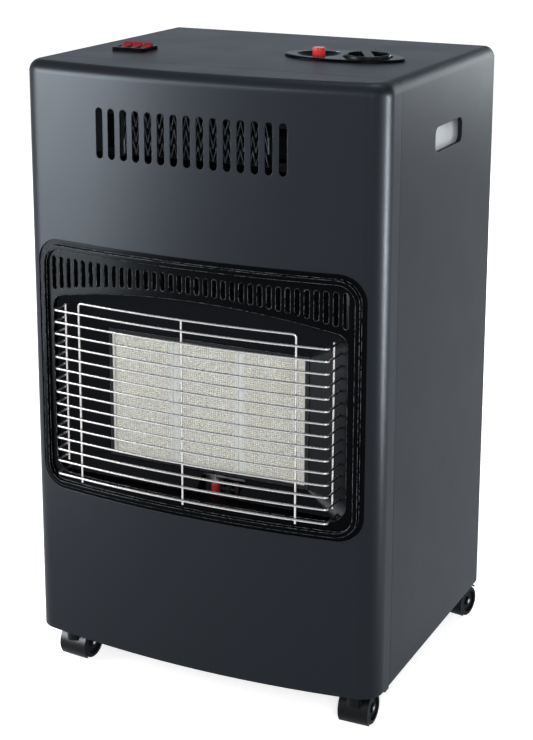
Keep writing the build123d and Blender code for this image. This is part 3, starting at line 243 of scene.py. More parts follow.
def makeHeatGroup(pattern):
    # straw, purple and grey staining that grows towards a hot line at one height
    group, given, result = newGroup(
        "heatStain",
        {"Colour": ("colour", (0.4, 0.4, 0.4, 1)), "Hot Height": ("number", 0.348),
         "Reach": ("number", 0.11), "Amount": ("number", 0.6)},
        {"Colour": "colour"},
    )
    place = objectPlace(group)
    height = axesOf(group, place)["Z"]
    away = compute(group, "ABSOLUTE", compute(group, "SUBTRACT", height, given["Hot Height"]))
    near = compute(group, "SUBTRACT", 1.0, compute(group, "DIVIDE", away, given["Reach"]), clamp=True)
    gathered = spread(group, noise(group, place, *pattern["patches"]), *pattern["gathered"])
    patch = compute(group, "MULTIPLY", near, gathered)
    stain = addNode(group, "ShaderNodeValToRGB")
    stain.color_ramp.elements[0].color = pattern["straw"]
    stain.color_ramp.elements[1].color = pattern["grey"]
    stain.color_ramp.elements.new(0.5).color = pattern["purple"]
    feed(group, stain.inputs[0], patch)
    mask = compute(group, "MULTIPLY", patch, given["Amount"], clamp=True)
    feed(group, result["Colour"], mixColour(group, mask, given["Colour"], stain.outputs[0]))
    return group


grainGroup = makeGrainGroup(grainPattern)
dustGroup = makeDustGroup(dustPattern)
edgeGroup = makeEdgeGroup(edgePattern)
brushGroup = makeBrushGroup(brushPattern)
spangleGroup = makeSpangleGroup(spanglePattern)
heatGroup = makeHeatGroup(heatPattern)
print("shader groups built:", len(bpy.data.node_groups))


def placeGroup(tree, group, **values):
    node = addNode(tree, "ShaderNodeGroup", node_tree=group)
    for label, value in values.items():
        feed(tree, node.inputs[label.replace("_", " ")], value)
    return node.outputs


def newMaterial(name):
    material = bpy.data.materials.new(name)
    material.use_nodes = True
    tree = material.node_tree
    return material, tree, tree.nodes["Principled BSDF"].inputs


def raiseBump(tree, surface, height, strength, distance, normal=None):
    bump = addNode(tree, "ShaderNodeBump")
    for label, value in (("Height", height), ("Strength", strength), ("Distance", distance)):
        feed(tree, bump.inputs[label], value)
    if normal is not None:
        feed(tree, bump.inputs["Normal"], normal)
    feed(tree, surface["Normal"], bump.outputs[0])


# What a grainy finish has where its own look doesn't say otherwise: grain is the scale of the fine
# noise, edge and round are how far wear, with the painted edge highlight, and rounding reach, and depth is
# the bump's.
grainyUsual = {
    "mottle": 0.5, "spread": 0.06, "wearAndHighlight": 0.25, "edge": 0.0008, "round": 0.0004,
    "dust": 0.05, "dustColour": (0.42, 0.42, 0.42), "specular": 0.5, "tint": (1, 1, 1), "metallic": 0.0,
    "coat": 0.0, "coatRoughness": 0.1, "bump": 0.15, "depth": 0.0002,
}


def grainyMaterial(name, look):
    # paint, moulded plastic, rubber, ceramic body: grain, worn edges, which on the gloss black are a painted
    # highlight, dust and what is painted over them
    look = {**grainyUsual, **look}
    material, tree, surface = newMaterial(name)
    grain = placeGroup(
        tree, grainGroup, Colour=look["colour"], Scale=look["grain"], Mottle=look["mottle"],
        Roughness=look["roughness"], Roughness_Spread=look["spread"],
    )
    wornAndHighlight = placeGroup(
        tree, edgeGroup, Colour=grain["Colour"], Worn=look["wornAndHighlight"], Width=look["edge"], Amount=look["wearAndHighlight"],
        Round=look["round"],
    )
    dusty = placeGroup(tree, dustGroup, Colour=wornAndHighlight["Colour"], Dust=look["dustColour"], Amount=look["dust"])
    colour = look["over"](tree, dusty["Colour"], look) if "over" in look else dusty["Colour"]
    for label, value in (
        ("Base Color", colour), ("Roughness", grain["Roughness"]), ("Metallic", look["metallic"]),
        ("Specular IOR Level", look["specular"]), ("Specular Tint", look["tint"]),
        ("Coat Weight", look["coat"]), ("Coat Roughness", look["coatRoughness"]),
    ):
        feed(tree, surface[label], value)
    raiseBump(tree, surface, grain["Height"], look["bump"], look["depth"], wornAndHighlight["Normal"])
    return material


def shadeInnerFaces(tree, colour, look):
    # pale on the faces turned outwards, with a painted shade, near black, on those turned in to the heat
    fromMiddle = compute(tree, "ABSOLUTE", axesOf(tree, objectPlace(tree))["X"])
    outward = spread(tree, fromMiddle, look["innerFace"], look["outerFace"])
    return mixColour(tree, outward, look["innerShade"], colour)


def paleDot(tree, colour, look):
    # one pale round dot on the bezel
    away = computeVector(tree, "DISTANCE", objectPlace(tree), look["dotPlace"])
    dot = spread(tree, away, look["dotRadius"] + look["dotBlur"], look["dotRadius"])
    return mixColour(tree, dot, colour, look["dotColour"])


# the same for metals: lines is the scale of the brushing, second the colour between its lines
metalUsual = {
    "stretch": (1.0, 1.0, 30.0), "lines": 70.0, "tone": (0.3, 0.7), "stain": 0.0, "hotHeight": 0.348,
    "reach": 0.12, "wornAndHighlight": (0.8, 0.8, 0.8), "wearAndHighlight": 0.3, "edge": 0.0006, "dust": 0.1,
    "dustColour": (0.3, 0.3, 0.3), "bump": 0.1, "depth": 0.0001,
}


def metalMaterial(name, look):
    # drawn, cast and turned metals with lines, stains and a little dirt
    look = {**metalUsual, **look}
    material, tree, surface = newMaterial(name)
    lines = placeGroup(tree, brushGroup, Stretch=look["stretch"], Scale=look["lines"])["Value"]
    colour = mixColour(tree, spread(tree, lines, *look["tone"]), look["colour"], look["second"])
    if look["stain"] > 0:
        colour = placeGroup(
            tree, heatGroup, Colour=colour, Hot_Height=look["hotHeight"], Reach=look["reach"],
            Amount=look["stain"],
        )["Colour"]
    wornAndHighlight = placeGroup(
        tree, edgeGroup, Colour=colour, Worn=look["wornAndHighlight"], Width=look["edge"], Amount=look["wearAndHighlight"]
    )
    dusty = placeGroup(tree, dustGroup, Colour=wornAndHighlight["Colour"], Dust=look["dustColour"], Amount=look["dust"])
    feed(tree, surface["Base Color"], dusty["Colour"])
    feed(tree, surface["Roughness"], spread(tree, lines, *look["tone"], *look["roughness"]))
    feed(tree, surface["Metallic"], 1.0)
    raiseBump(tree, surface, lines, look["bump"], look["depth"])
    return material


def zincMaterial(name, look):
    material, tree, surface = newMaterial(name)
    spangle = placeGroup(tree, spangleGroup, Light=look["light"], Dark=look["dark"], Scale=look["spangle"])
    dusty = placeGroup(
        tree, dustGroup, Colour=spangle["Colour"], Dust=look["dustColour"], Amount=look["dust"]
    )
    feed(tree, surface["Base Color"], dusty["Colour"])
    feed(tree, surface["Roughness"], spangle["Roughness"])
    feed(tree, surface["Metallic"], look["metallic"])
    grain = placeGroup(tree, grainGroup, Scale=look["grain"])
    raiseBump(tree, surface, grain["Height"], look["bump"], look["depth"])
    return material


bezelLook = {
    "colour": (0.0012, 0.0014, 0.0018), "grain": 1800.0, "roughness": 0.24, "wornAndHighlight": (0.05, 0.055, 0.06),
    "wearAndHighlight": 0.5, "dust": 0.003, "bump": 0.06, "depth": 0.0001, "specular": 0.02, "round": 0.0008,
}
looks = {
    "slatePaint": (grainyMaterial, {
        "colour": (0.0112, 0.0129, 0.0162), "grain": 1500.0, "roughness": 0.37, "spread": 0.04,
        "mottle": 0.2, "wornAndHighlight": (0.05, 0.055, 0.065), "wearAndHighlight": 0.12, "edge": 0.0007, "dust": 0.002,
        "specular": 0.044, "bump": 0.08, "depth": 0.00012, "round": 0.0009, "tint": (0.86, 0.93, 1.0),
    }),
    "trayBlack": (grainyMaterial, {
        "colour": (0.003, 0.003, 0.0035), "grain": 900.0, "roughness": 0.42, "wornAndHighlight": (0.06, 0.06, 0.06),
        "dust": 0.04, "specular": 0.1,
    }),
    # painted highlight: on the gloss black the pale worn-edge colour draws light lines along the rim and vent
    # edges, standing for highlights
    "glossBlack": (grainyMaterial, {
        "colour": (0.0009, 0.001, 0.0012), "grain": 420.0, "roughness": 0.24, "spread": 0.04,
        "mottle": 0.3, "wornAndHighlight": (0.42, 0.44, 0.48), "wearAndHighlight": 0.75, "edge": 0.0008, "dust": 0.0005,
        "specular": 0.018, "bump": 0.02, "round": 0.0018, "tint": (0.86, 0.93, 1.0),
    }),
    "bezelBlack": (grainyMaterial, bezelLook),
    "dottedBezel": (grainyMaterial, {
        **bezelLook, "over": paleDot, "dotPlace": (0.0805, behind(149), 0.729), "dotRadius": 0.0021,
        "dotBlur": 0.0002, "dotColour": (0.55, 0.57, 0.6),
    }),
    "satinBlack": (grainyMaterial, {
        "colour": (0.003, 0.0032, 0.0037), "grain": 2200.0, "roughness": 0.36,
        "wornAndHighlight": (0.035, 0.035, 0.04), "dust": 0.008, "depth": 0.00012, "specular": 0.07, "round": 0.0008,
    }),
    "softBlack": (grainyMaterial, {
        "colour": (0.0045, 0.0048, 0.0054), "grain": 1700.0, "roughness": 0.5,
        "wornAndHighlight": (0.035, 0.035, 0.035), "wearAndHighlight": 0.3, "dust": 0.01, "bump": 0.25, "specular": 0.05,
        "round": 0.0008,
    }),
    "funnelEnamel": (grainyMaterial, {
        "colour": (0.004, 0.0047, 0.006), "grain": 700.0, "roughness": 0.36, "spread": 0.1, "mottle": 0.6,
        "wornAndHighlight": (0.03, 0.03, 0.035), "dust": 0.005, "specular": 0.022, "bump": 0.2, "depth": 0.0003,
        "round": 0.0006,
    }),
    "buttonRed": (grainyMaterial, {
        "colour": (0.6, 0.012, 0.014), "grain": 1400.0, "roughness": 0.28, "wornAndHighlight": (0.75, 0.12, 0.1),
        "wearAndHighlight": 0.3, "dust": 0.02, "bump": 0.06, "coat": 0.2,
    }),
    "rockerRed": (grainyMaterial, {
        "colour": (0.24, 0.004, 0.014), "grain": 1400.0, "roughness": 0.3, "wornAndHighlight": (0.4, 0.1, 0.12),
        "wearAndHighlight": 0.4, "dust": 0.02, "bump": 0.06, "specular": 0.12,
    }),
    "siliconeRed": (grainyMaterial, {
        "colour": (0.2, 0.008, 0.01), "grain": 1100.0, "roughness": 0.5, "wornAndHighlight": (0.3, 0.04, 0.04),
        "wearAndHighlight": 0.2, "dust": 0.03, "bump": 0.25, "specular": 0.3,
    }),
    "paleNylon": (grainyMaterial, {
        "colour": (0.68, 0.67, 0.62), "grain": 1200.0, "roughness": 0.42, "wornAndHighlight": (0.8, 0.8, 0.76),
        "wearAndHighlight": 0.2, "dust": 0.15,
    }),
    # painted shade: the white glaze is painted dark grey, standing for the shade round the pilot
    "whiteGlaze": (grainyMaterial, {
        "colour": (0.16, 0.155, 0.15), "grain": 600.0, "roughness": 0.3, "wornAndHighlight": (0.4, 0.4, 0.38),
        "wearAndHighlight": 0.2, "bump": 0.05, "specular": 0.3,
    }),
    # painted shade: the mica frame is painted near black, standing for the shade inside the cabinet
    "mica": (grainyMaterial, {
        "colour": (0.003, 0.0034, 0.004), "grain": 260.0, "roughness": 0.5, "mottle": 0.9,
        "wornAndHighlight": (0.1, 0.1, 0.1), "wearAndHighlight": 0.5, "dust": 0.01, "bump": 0.3, "depth": 0.0003,
        "specular": 0.06,
    }),
    "paleFibre": (grainyMaterial, {
        "colour": (0.55, 0.58, 0.57), "grain": 1500.0, "roughness": 0.92, "mottle": 0.6,
        "wornAndHighlight": (0.75, 0.75, 0.72), "wearAndHighlight": 0.2, "dust": 0.0, "bump": 0.7, "depth": 0.0006,
        "specular": 0.2,
    }),
    # painted shade and soot: the parts inside the cabinet and round the pilot are painted near black,
    # standing for the shade there as well as for soot
    "sootAndShadeSteel": (grainyMaterial, {
        "colour": (0.006, 0.0063, 0.007), "grain": 800.0, "roughness": 0.55, "mottle": 0.8,
        "wornAndHighlight": (0.06, 0.06, 0.065), "wearAndHighlight": 0.35, "dust": 0.02, "specular": 0.08, "bump": 0.3,
        "depth": 0.0003,
    }),
    "linerPaint": (grainyMaterial, {
        "colour": (0.82, 0.86, 0.9), "grain": 900.0, "roughness": 0.5, "mottle": 0.3,
        "wornAndHighlight": (0.8, 0.82, 0.84), "wearAndHighlight": 0.2, "specular": 0.4,
        # painted shade on the faces of the liners turned into the cabinet
        "over": shadeInnerFaces, "innerShade": (0.004, 0.0044, 0.005), "innerFace": 0.1943, "outerFace": 0.1949,
    }),
    "castAlloy": (grainyMaterial, {
        "colour": (0.58, 0.585, 0.6), "grain": 700.0, "roughness": 0.42, "mottle": 0.7,
        "wornAndHighlight": (0.75, 0.75, 0.76), "wearAndHighlight": 0.5, "dust": 0.1, "metallic": 0.9, "bump": 0.5,
        "depth": 0.0003,
    }),
    "brightWire": (metalMaterial, {
        "colour": (0.6, 0.56, 0.54), "second": (0.46, 0.43, 0.42), "roughness": (0.2, 0.34),
        "stretch": (1.0, 1.0, 1.0), "lines": 420.0, "dust": 0.02, "stain": 0.12, "reach": 0.16,
    }),
    "plainSteel": (metalMaterial, {
        "colour": (0.5, 0.5, 0.51), "second": (0.38, 0.38, 0.4), "roughness": (0.3, 0.5),
        "stretch": (30.0, 1.0, 1.0), "lines": 50.0, "stain": 0.4, "reach": 0.14,
    }),
    "axleSteel": (metalMaterial, {
        "colour": (0.56, 0.56, 0.57), "second": (0.45, 0.45, 0.46), "roughness": (0.22, 0.36),
        "stretch": (1.0, 20.0, 20.0), "lines": 120.0,
    }),
    "turnedBrass": (metalMaterial, {
        "colour": (0.76, 0.57, 0.26), "second": (0.62, 0.44, 0.19), "roughness": (0.2, 0.38),
        "stretch": (1.0, 1.0, 60.0), "lines": 60.0, "wornAndHighlight": (0.9, 0.75, 0.45),
    }),
    # painted shade: the copper is painted dark, standing for the shade round the pilot
    "copperTone": (metalMaterial, {
        "colour": (0.03, 0.02, 0.016), "second": (0.02, 0.014, 0.011), "roughness": (0.45, 0.6),
        "lines": 80.0, "wornAndHighlight": (0.08, 0.05, 0.035),
    }),
    "drawnAluminium": (metalMaterial, {
        "colour": (0.3, 0.31, 0.32), "second": (0.2, 0.21, 0.22), "roughness": (0.35, 0.5),
        "stretch": (1.0, 1.0, 6.0), "lines": 90.0,
    }),
    # painted shade: the heating ribbon is painted dark, standing for the shade inside the cabinet
    "ribbonWire": (metalMaterial, {
        "colour": (0.13, 0.14, 0.155), "second": (0.05, 0.055, 0.065), "roughness": (0.3, 0.5),
        "stretch": (1.0, 1.0, 1.0), "lines": 200.0,
    }),
    "screwZinc": (metalMaterial, {
        "colour": (0.34, 0.35, 0.36), "second": (0.22, 0.23, 0.24), "roughness": (0.28, 0.45),
        "stretch": (1.0, 8.0, 1.0), "lines": 260.0, "wearAndHighlight": 0.4, "dust": 0.15,
    }),
    "laminations": (metalMaterial, {
        "colour": (0.3, 0.3, 0.31), "second": (0.14, 0.14, 0.15), "roughness": (0.4, 0.6),
        "stretch": (60.0, 1.0, 1.0), "lines": 30.0, "bump": 0.4,
    }),
    "galvanised": (zincMaterial, {
        "light": (0.62, 0.64, 0.67), "dark": (0.46, 0.48, 0.51), "spangle": 120.0, "metallic": 0.85,
        "dust": 0.1, "dustColour": (0.4, 0.4, 0.4), "grain": 500.0, "bump": 0.08, "depth": 0.0001,
    }),
}
made = {name: maker(name, look) for name, (maker, look) in looks.items()}

plaqueLook = {
    "ribPitch": 0.0026, "ribEdge": (0.12, 0.4), "rowPitch": 0.0022, "portEdge": (0.34, 0.14),
    "portShade": 0.85, "inside": (0.2, 0.2, 0.185),
    "broad": (26.0, 4.0, 0.6), "tone": (0.35, 0.7), "face": (0.53, 0.535, 0.48),
    "second": (0.49, 0.495, 0.445),
    "grit": (780.0, 2.0, 0.6), "gritAmount": 0.75, "darkGrit": (0.5, 0.66), "lightGrit": (0.48, 0.34),
    "light": (0.93, 0.92, 0.84), "speckle": (0.15, 0.155, 0.14),
    "blushPatch": (17.0, 2.0, 0.5), "blushEdge": (0.56, 0.72), "blush": (0.5, 0.44, 0.35),
    "blushAmount": 0.35,
    "jointPlace": 0.04065, "lintReach": 0.0085, "lintSolid": 0.4, "lintGrit": (0.62, 0.4, 0.35, 0.85),
    "lint": (0.52, 0.56, 0.55),
    "roughness": 0.9, "specular": 0.15, "bump": 0.5, "depth": 0.0004, "gritHeight": 0.5,
}


def withinPitch(tree, along, pitch):
    # 0 in the middle of each pitch and 0.5 at its ends
    share = compute(tree, "FRACT", compute(tree, "DIVIDE", along, pitch))
    return compute(tree, "ABSOLUTE", compute(tree, "SUBTRACT", share, 0.5))


def makePlaqueMaterial(name, look):
    # pressed ceramic: fine upright ribs crossed by rows of ports, paler where the fibre strips shed
    material, tree, surface = newMaterial(name)
    place = objectPlace(tree)
    axes = axesOf(tree, place)
    gap = spread(tree, withinPitch(tree, axes["X"], look["ribPitch"]), *look["ribEdge"])
    row = spread(tree, withinPitch(tree, axes["Z"], look["rowPitch"]), *look["portEdge"])
    port = compute(tree, "MULTIPLY", gap, row)                          # 1 inside a port

    tone = spread(tree, noise(tree, place, *look["broad"]), *look["tone"])
    grit = noise(tree, place, *look["grit"])
    patch = noise(tree, place, *look["blushPatch"])
    blushed = spread(tree, patch, *look["blushEdge"], 0.0, look["blushAmount"])
    colour = mixColour(tree, tone, look["face"], look["second"])
    for edge, shade in (("darkGrit", "speckle"), ("lightGrit", "light")):
        amount = spread(tree, grit, *look[edge], 0.0, look["gritAmount"])
        colour = mixColour(tree, amount, colour, look[shade])
    colour = mixColour(tree, blushed, colour, look["blush"])
    # painted shade: the ports are darkened inside, standing for the shade in the holes
    colour = mixColour(tree, compute(tree, "MULTIPLY", port, look["portShade"]), colour, look["inside"])

    # pale bluish lint beside the strips, at the same distance left and right of the middle
    fromJoint = compute(tree, "SUBTRACT", compute(tree, "ABSOLUTE", axes["X"]), look["jointPlace"])
    reach = look["lintReach"]
    lint = spread(tree, compute(tree, "ABSOLUTE", fromJoint), reach, reach * look["lintSolid"])
    lint = compute(tree, "MULTIPLY", lint, spread(tree, grit, *look["lintGrit"]))
    feed(tree, surface["Base Color"], mixColour(tree, lint, colour, look["lint"]))
    feed(tree, surface["Roughness"], look["roughness"])
    feed(tree, surface["Specular IOR Level"], look["specular"])
    height = compute(tree, "SUBTRACT", compute(tree, "MULTIPLY", grit, look["gritHeight"]), port)
    raiseBump(tree, surface, height, look["bump"], look["depth"])
    return material


made["plaqueCeramic"] = makePlaqueMaterial("plaqueCeramic", plaqueLook)

retainerLook = {
    "colour": (0.012, 0.0125, 0.014), "grain": 600.0, "mottle": 0.6, "roughness": 0.6, "spread": 0.1,
    "lip": (0.43, 0.435, 0.41), "lipFade": 0.0006, "middleHeight": 0.348, "halfWidth": 0.11995,
    "halfHeight": 0.0715, "wornAndHighlight": (0.5, 0.52, 0.55), "wearAndHighlight": 0.5, "edge": 0.0006, "round": 0.0003,
    "specular": 0.15, "bump": 0.3, "depth": 0.0003,
}


def makeRetainerMaterial(name, look):
    # dark pressed frame, its narrow lip over the plaques pale with ceramic dust
    material, tree, surface = newMaterial(name)
    grain = placeGroup(
        tree, grainGroup, Colour=look["colour"], Scale=look["grain"], Mottle=look["mottle"],
        Roughness=look["roughness"], Roughness_Spread=look["spread"],
    )
    axes = axesOf(tree, objectPlace(tree))
    fromMiddle = compute(tree, "ABSOLUTE", axes["X"])
    fromHeight = compute(tree, "ABSOLUTE", compute(tree, "SUBTRACT", axes["Z"], look["middleHeight"]))
    insideX, insideZ = (
        spread(tree, away, reach, reach - look["lipFade"])
        for away, reach in ((fromMiddle, look["halfWidth"]), (fromHeight, look["halfHeight"]))
    )
    inside = compute(tree, "MULTIPLY", insideX, insideZ)
    dusted = mixColour(tree, inside, grain["Colour"], look["lip"])
    wornAndHighlight = placeGroup(
        tree, edgeGroup, Colour=dusted, Worn=look["wornAndHighlight"], Width=look["edge"], Amount=look["wearAndHighlight"],
        Round=look["round"],
    )
    feed(tree, surface["Base Color"], wornAndHighlight["Colour"])
    feed(tree, surface["Roughness"], grain["Roughness"])
    feed(tree, surface["Specular IOR Level"], look["specular"])
    raiseBump(tree, surface, grain["Height"], look["bump"], look["depth"], wornAndHighlight["Normal"])
    return material


made["retainerSteel"] = makeRetainerMaterial("retainerSteel", retainerLook)
print("materials:", len(made))

corners = ("front_left", "front_right", "rear_left", "rear_right")
sides = ("left", "right")
thirds = ("left", "middle", "right")
finishOf = {
    "slatePaint": ["cabinet_shell", "front_panel", "rear_cover", "upper_back_panel"],
    "trayBlack": ["base_tray"],
    "glossBlack": ["burner_surround"],
    "bezelBlack": ["switch_bezel"],
    "dottedBezel": ["control_bezel"],
    "satinBlack": ["control_knob", "switch_bodies", "cable_gland"] + ["castor_hood_" + at for at in corners],
    "softBlack": ["castor_wheels_" + at for at in corners],
    "buttonRed": ["igniter_button"],
    "rockerRed": ["rocker_switch_" + at for at in thirds],
    "siliconeRed": ["electrode_boot"],
    "paleNylon": ["igniter_body", "push_collar"],
    "whiteGlaze": ["spark_electrode"],
    "mica": ["element_frame"],
    "paleFibre": ["gasket_strips"],
    "brightWire": ["wire_guard"],
    "funnelEnamel": ["reflector"],
    "sootAndShadeSteel": ["pilot_bracket", "pilot_burner", "fan_housing", "fan_wheel", "upper_deck", "heat_shield"],
    "linerPaint": ["side_liner_" + at for at in sides],
    "plainSteel": ["burner_body", "mixer_tubes"],
    "retainerSteel": ["plaque_retainer"],
    "axleSteel": ["castor_axle_" + at for at in corners],
    "turnedBrass": ["injectors", "hose_nozzle", "valve_spindle"],
    "copperTone": ["thermocouple"],
    "drawnAluminium": ["gas_pipes", "pilot_pipe"],
    "castAlloy": ["gas_valve"],
    "ribbonWire": ["heating_element"],
    "laminations": ["fan_motor"],
    "galvanised": ["injector_rail", "castor_sockets"],
    "plaqueCeramic": ["ceramic_plaque_left", "ceramic_plaque_centre", "ceramic_plaque_right"],
}
for finish, names in finishOf.items():
    for name in names:
        for slot in nodes[name].material_slots:
            slot.material = made[finish]
finished = sum(finishOf.values(), [])
print("nodes with a finish:", len(finished), "bare:", [name for name in nodes if name not in finished])

screwLook = {
    "seat": behind(298.4),                                      # rear face of the upper back panel
    "places": [(-0.198, 0.658), (0.198, 0.658), (-0.198, 0.709), (0.198, 0.709), (-0.066, 0.711),
               (0.066, 0.711)],                                 # across and up
    "radius": 0.0036, "height": 0.0019, "rimShare": 0.45, "recess": 0.0011,
    "armWidth": 0.15, "armReach": 0.6,                          # the cross, as shares of the radius
    "firstTurn": 0.2, "turnStep": 0.7, "cells": 26,
}


def screwHeight(look, u, v):
    away = min(1.0, math.hypot(u, v))
    crown = look["height"] * (look["rimShare"] + (1 - look["rimShare"]) * math.sqrt(1 - away ** 2))
    onArm = min(abs(u), abs(v)) < look["armWidth"] and max(abs(u), abs(v)) < look["armReach"]
    return crown - look["recess"] if onArm else crown


def makeScrews(look):
    # pan heads with a cross recess, each turned to its own angle as tightened
    form = bmesh.new()
    cells = look["cells"]
    for number, (x, z) in enumerate(look["places"]):
        turn = look["turnStep"] * number + look["firstTurn"]
        grid = []
        for row in range(cells + 1):
            line = []
            for column in range(cells + 1):
                a, b = 2 * row / cells - 1, 2 * column / cells - 1
                u, v = a * math.sqrt(1 - b * b / 2), b * math.sqrt(1 - a * a / 2)       # square to disc
                across = (u * math.cos(turn) - v * math.sin(turn)) * look["radius"]
                upward = (u * math.sin(turn) + v * math.cos(turn)) * look["radius"]
                line.append(form.verts.new((x + across, look["seat"] + screwHeight(look, u, v), z + upward)))
            grid.append(line)
        for near, far in zip(grid, grid[1:]):
            for column in range(cells):
                form.faces.new((near[column], near[column + 1], far[column + 1], far[column]))
        rim = grid[0][:-1] + [line[-1] for line in grid[:-1]]           # once round the head
        rim += grid[-1][:0:-1] + [line[0] for line in grid[:0:-1]]
        foot = [form.verts.new((vert.co.x, look["seat"], vert.co.z)) for vert in rim]
        for at in range(len(rim)):
            form.faces.new((rim[at], rim[at - 1], foot[at - 1], foot[at]))
    for face in form.faces:
        face.smooth = True
    mesh = bpy.data.meshes.new("back_panel_screws")
    form.to_mesh(mesh)
    form.free()
    screws = bpy.data.objects.new("back_panel_screws", mesh)
    bpy.context.collection.objects.link(screws)
    mesh.materials.append(made["screwZinc"])
    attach(screws, "cabinet")


makeScrews(screwLook)
print("screws:", len(screwLook["places"]))

# right, up and back are the camera's own axes
cameraLook = {
    "place": (0.83166, -1.73591, 0.97963), "right": (0.90118, 0.43343, 0.00256),
    "up": (-0.1048, 0.21215, 0.9716), "back": (0.42058, -0.87586, 0.23661),
    "sensor": 36.0, "lens": 82.452, "shiftY": -0.1824,
}


def makeCamera(look):
    data = bpy.data.cameras.new("photoCamera")
    data.sensor_width = look["sensor"]
    data.lens = look["lens"]
    data.shift_y = look["shiftY"]
    camera = bpy.data.objects.new("photoCamera", data)
    bpy.context.collection.objects.link(camera)
    turn = Matrix([Vector(look[key]) for key in ("right", "up", "back")]).transposed().to_4x4()
    camera.matrix_world = Matrix.Translation(look["place"]) @ turn
    bpy.context.scene.camera = camera


# a sheen card shows only as a reflection, and only on dark glossy pieces
sheenCard = {"colour": (0.9, 0.96, 1.0), "only": "sheen", "onto": "sheenPieces"}
lampLook = {
    "keyLeft": {"place": (-1.3, -1.05, 0.95), "aim": (-0.1, -0.2, 0.45), "size": (0.6, 0.9), "watts": 18},
    "fillRight": {"place": (1.35, -2.5, 1.25), "aim": (0.1, 0, 0.4), "size": (1.0, 1.2), "watts": 52},
    "softTop": {"place": (0.1, 0.3, 2.6), "aim": (0, 0, 0.4), "size": (2.0, 2.0), "watts": 6},
    "softBack": {"place": (-0.6, 2.6, 1.4), "aim": (0, 0.2, 0.4), "size": (1.0, 1.0), "watts": 40,
                 "only": "diffuse"},
    "sheenLeft": {**sheenCard, "place": (-1.35, -1.2, 0.75), "aim": (-0.15, -0.2, 0.55),
                  "size": (0.9, 0.8), "watts": 190},
    "sheenLow": {**sheenCard, "place": (-1.1, -0.95, 0.17), "aim": (-0.15, -0.2, 0.35),
                 "size": (0.6, 0.3), "watts": 21},
    "sheenTop": {**sheenCard, "place": (-0.96, -2.05, 1.37), "aim": (0, -0.18, 0.7),
                 "size": (1.6, 0.12), "watts": 100, "onto": "frontPieces"},
    "sheenRight": {**sheenCard, "place": (1.3, 0.2, 0.33), "aim": (0.2, -0.16, 0.35),
                   "size": (0.16, 0.62), "watts": 100, "colour": (0.92, 0.97, 1.0), "onto": "frontPieces"},
    "sheenSide": {**sheenCard, "place": (2.6, -0.3, 0.5), "aim": (0.2, 0, 0.4),
                  "size": (1.2, 1.4), "watts": 60},
    "sheenBack": {**sheenCard, "place": (0.5, 2.9, 0.75), "aim": (0, 0.2, 0.4),
                  "size": (1.2, 1.0), "watts": 50},
    "sheenOver": {**sheenCard, "place": (0.3, 0.5, 2.9), "aim": (0, 0.1, 0.7),
                  "size": (1.3, 1.3), "watts": 50},
    "liftLiner": {"place": (0.95, -1.9, 1.05), "aim": (0.2, 0.07, 0.63), "size": (0.9, 0.7), "watts": 58,
                  "only": "diffuse", "onto": "linerPieces"},
}
darkGloss = ("slatePaint", "glossBlack", "satinBlack", "funnelEnamel")
receivers = {
    "sheenPieces": sum((finishOf[finish] for finish in darkGloss), []),
    "frontPieces": ["front_panel", "burner_surround"],
    "linerPieces": finishOf["linerPaint"],
}


def makeReceivers(names):
    # what a lamp is linked to, so that a card for the paint doesn't burn out the wires
    group = bpy.data.collections.new("litPieces")
    for name in names:
        group.objects.link(nodes[name])
    return group


def makeLamp(name, look):
    data = bpy.data.lights.new(name, "AREA")
    data.shape = "RECTANGLE"
    data.size, data.size_y = look["size"]
    data.energy = look["watts"]
    data.color = look.get("colour", (1, 1, 1))
    lamp = bpy.data.objects.new(name, data)
    bpy.context.collection.objects.link(lamp)
    lamp.location = look["place"]
    lamp.rotation_euler = (Vector(look["aim"]) - Vector(look["place"])).to_track_quat("-Z", "Y").to_euler()
    if "only" in look:
        lamp.visible_diffuse = look["only"] == "diffuse"
        lamp.visible_glossy = look["only"] == "sheen"
    if "onto" in look:
        lamp.light_linking.receiver_collection = makeReceivers(receivers[look["onto"]])


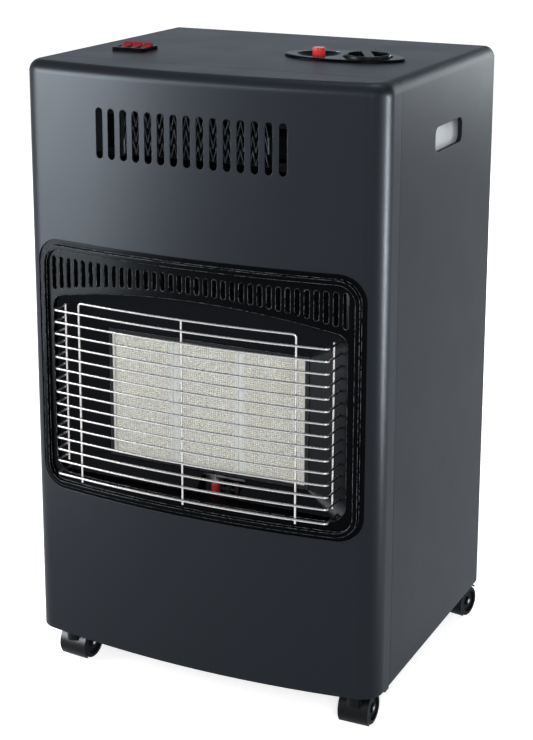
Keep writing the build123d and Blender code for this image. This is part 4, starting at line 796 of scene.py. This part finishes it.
def backgroundRays(tree):
    # 1 for what is seen directly, mirrored or through glass, 0 for light that falls on the heater
    path = addNode(tree, "ShaderNodeLightPath").outputs
    seen = compute(tree, "MAXIMUM", path["Is Camera Ray"], path["Is Glossy Ray"])
    return compute(tree, "MAXIMUM", seen, path["Is Transmission Ray"])


def backgroundColour(tree, mirrored):
    # white to the camera, a cool white in reflections
    glossy = addNode(tree, "ShaderNodeLightPath").outputs["Is Glossy Ray"]
    return mixColour(tree, glossy, (1, 1, 1), mirrored)


# the world glows less overhead than near the horizon, where the camera sees it
worldLook = {
    "light": 0.42, "seen": 1.0, "overhead": 0.45, "fadeBetween": (0.16, 0.32), "mirrored": (0.82, 0.93, 1.05),
}


def makeWorld(look):
    world = bpy.data.worlds.new("paleStudio")
    bpy.context.scene.world = world
    world.use_nodes = True
    tree = world.node_tree
    background = tree.nodes["Background"].inputs
    upward = axesOf(tree, addNode(tree, "ShaderNodeTexCoord").outputs["Generated"])["Z"]
    seen = spread(tree, upward, *look["fadeBetween"], look["seen"], look["overhead"])
    feed(tree, background["Color"], backgroundColour(tree, look["mirrored"]))
    feed(tree, background["Strength"], spread(tree, backgroundRays(tree), 0.0, 1.0, look["light"], seen))


floorLook = {
    "half": 8.0, "cells": 8, "colour": (0.85, 0.85, 0.85), "roughness": 0.9, "specular": 0.0, "glow": 0.7,
    "mirrored": (0.8, 0.93, 1.08),
}


def makeFloor(look):
    mesh = bpy.data.meshes.new("studioFloor")
    form = bmesh.new()
    bmesh.ops.create_grid(form, x_segments=look["cells"], y_segments=look["cells"], size=look["half"])
    form.to_mesh(mesh)
    form.free()
    floor = bpy.data.objects.new("studioFloor", mesh)
    bpy.context.collection.objects.link(floor)
    material, tree, surface = newMaterial("paleFloor")
    feed(tree, surface["Base Color"], look["colour"])
    feed(tree, surface["Roughness"], look["roughness"])
    feed(tree, surface["Specular IOR Level"], look["specular"])
    feed(tree, surface["Emission Color"], backgroundColour(tree, look["mirrored"]))
    feed(tree, surface["Emission Strength"], compute(tree, "MULTIPLY", backgroundRays(tree), look["glow"]))
    mesh.materials.append(material)


makeCamera(cameraLook)
for name, look in lampLook.items():
    makeLamp(name, look)
makeWorld(worldLook)
makeFloor(floorLook)
print("camera, floor and", len(lampLook), "lamps set")
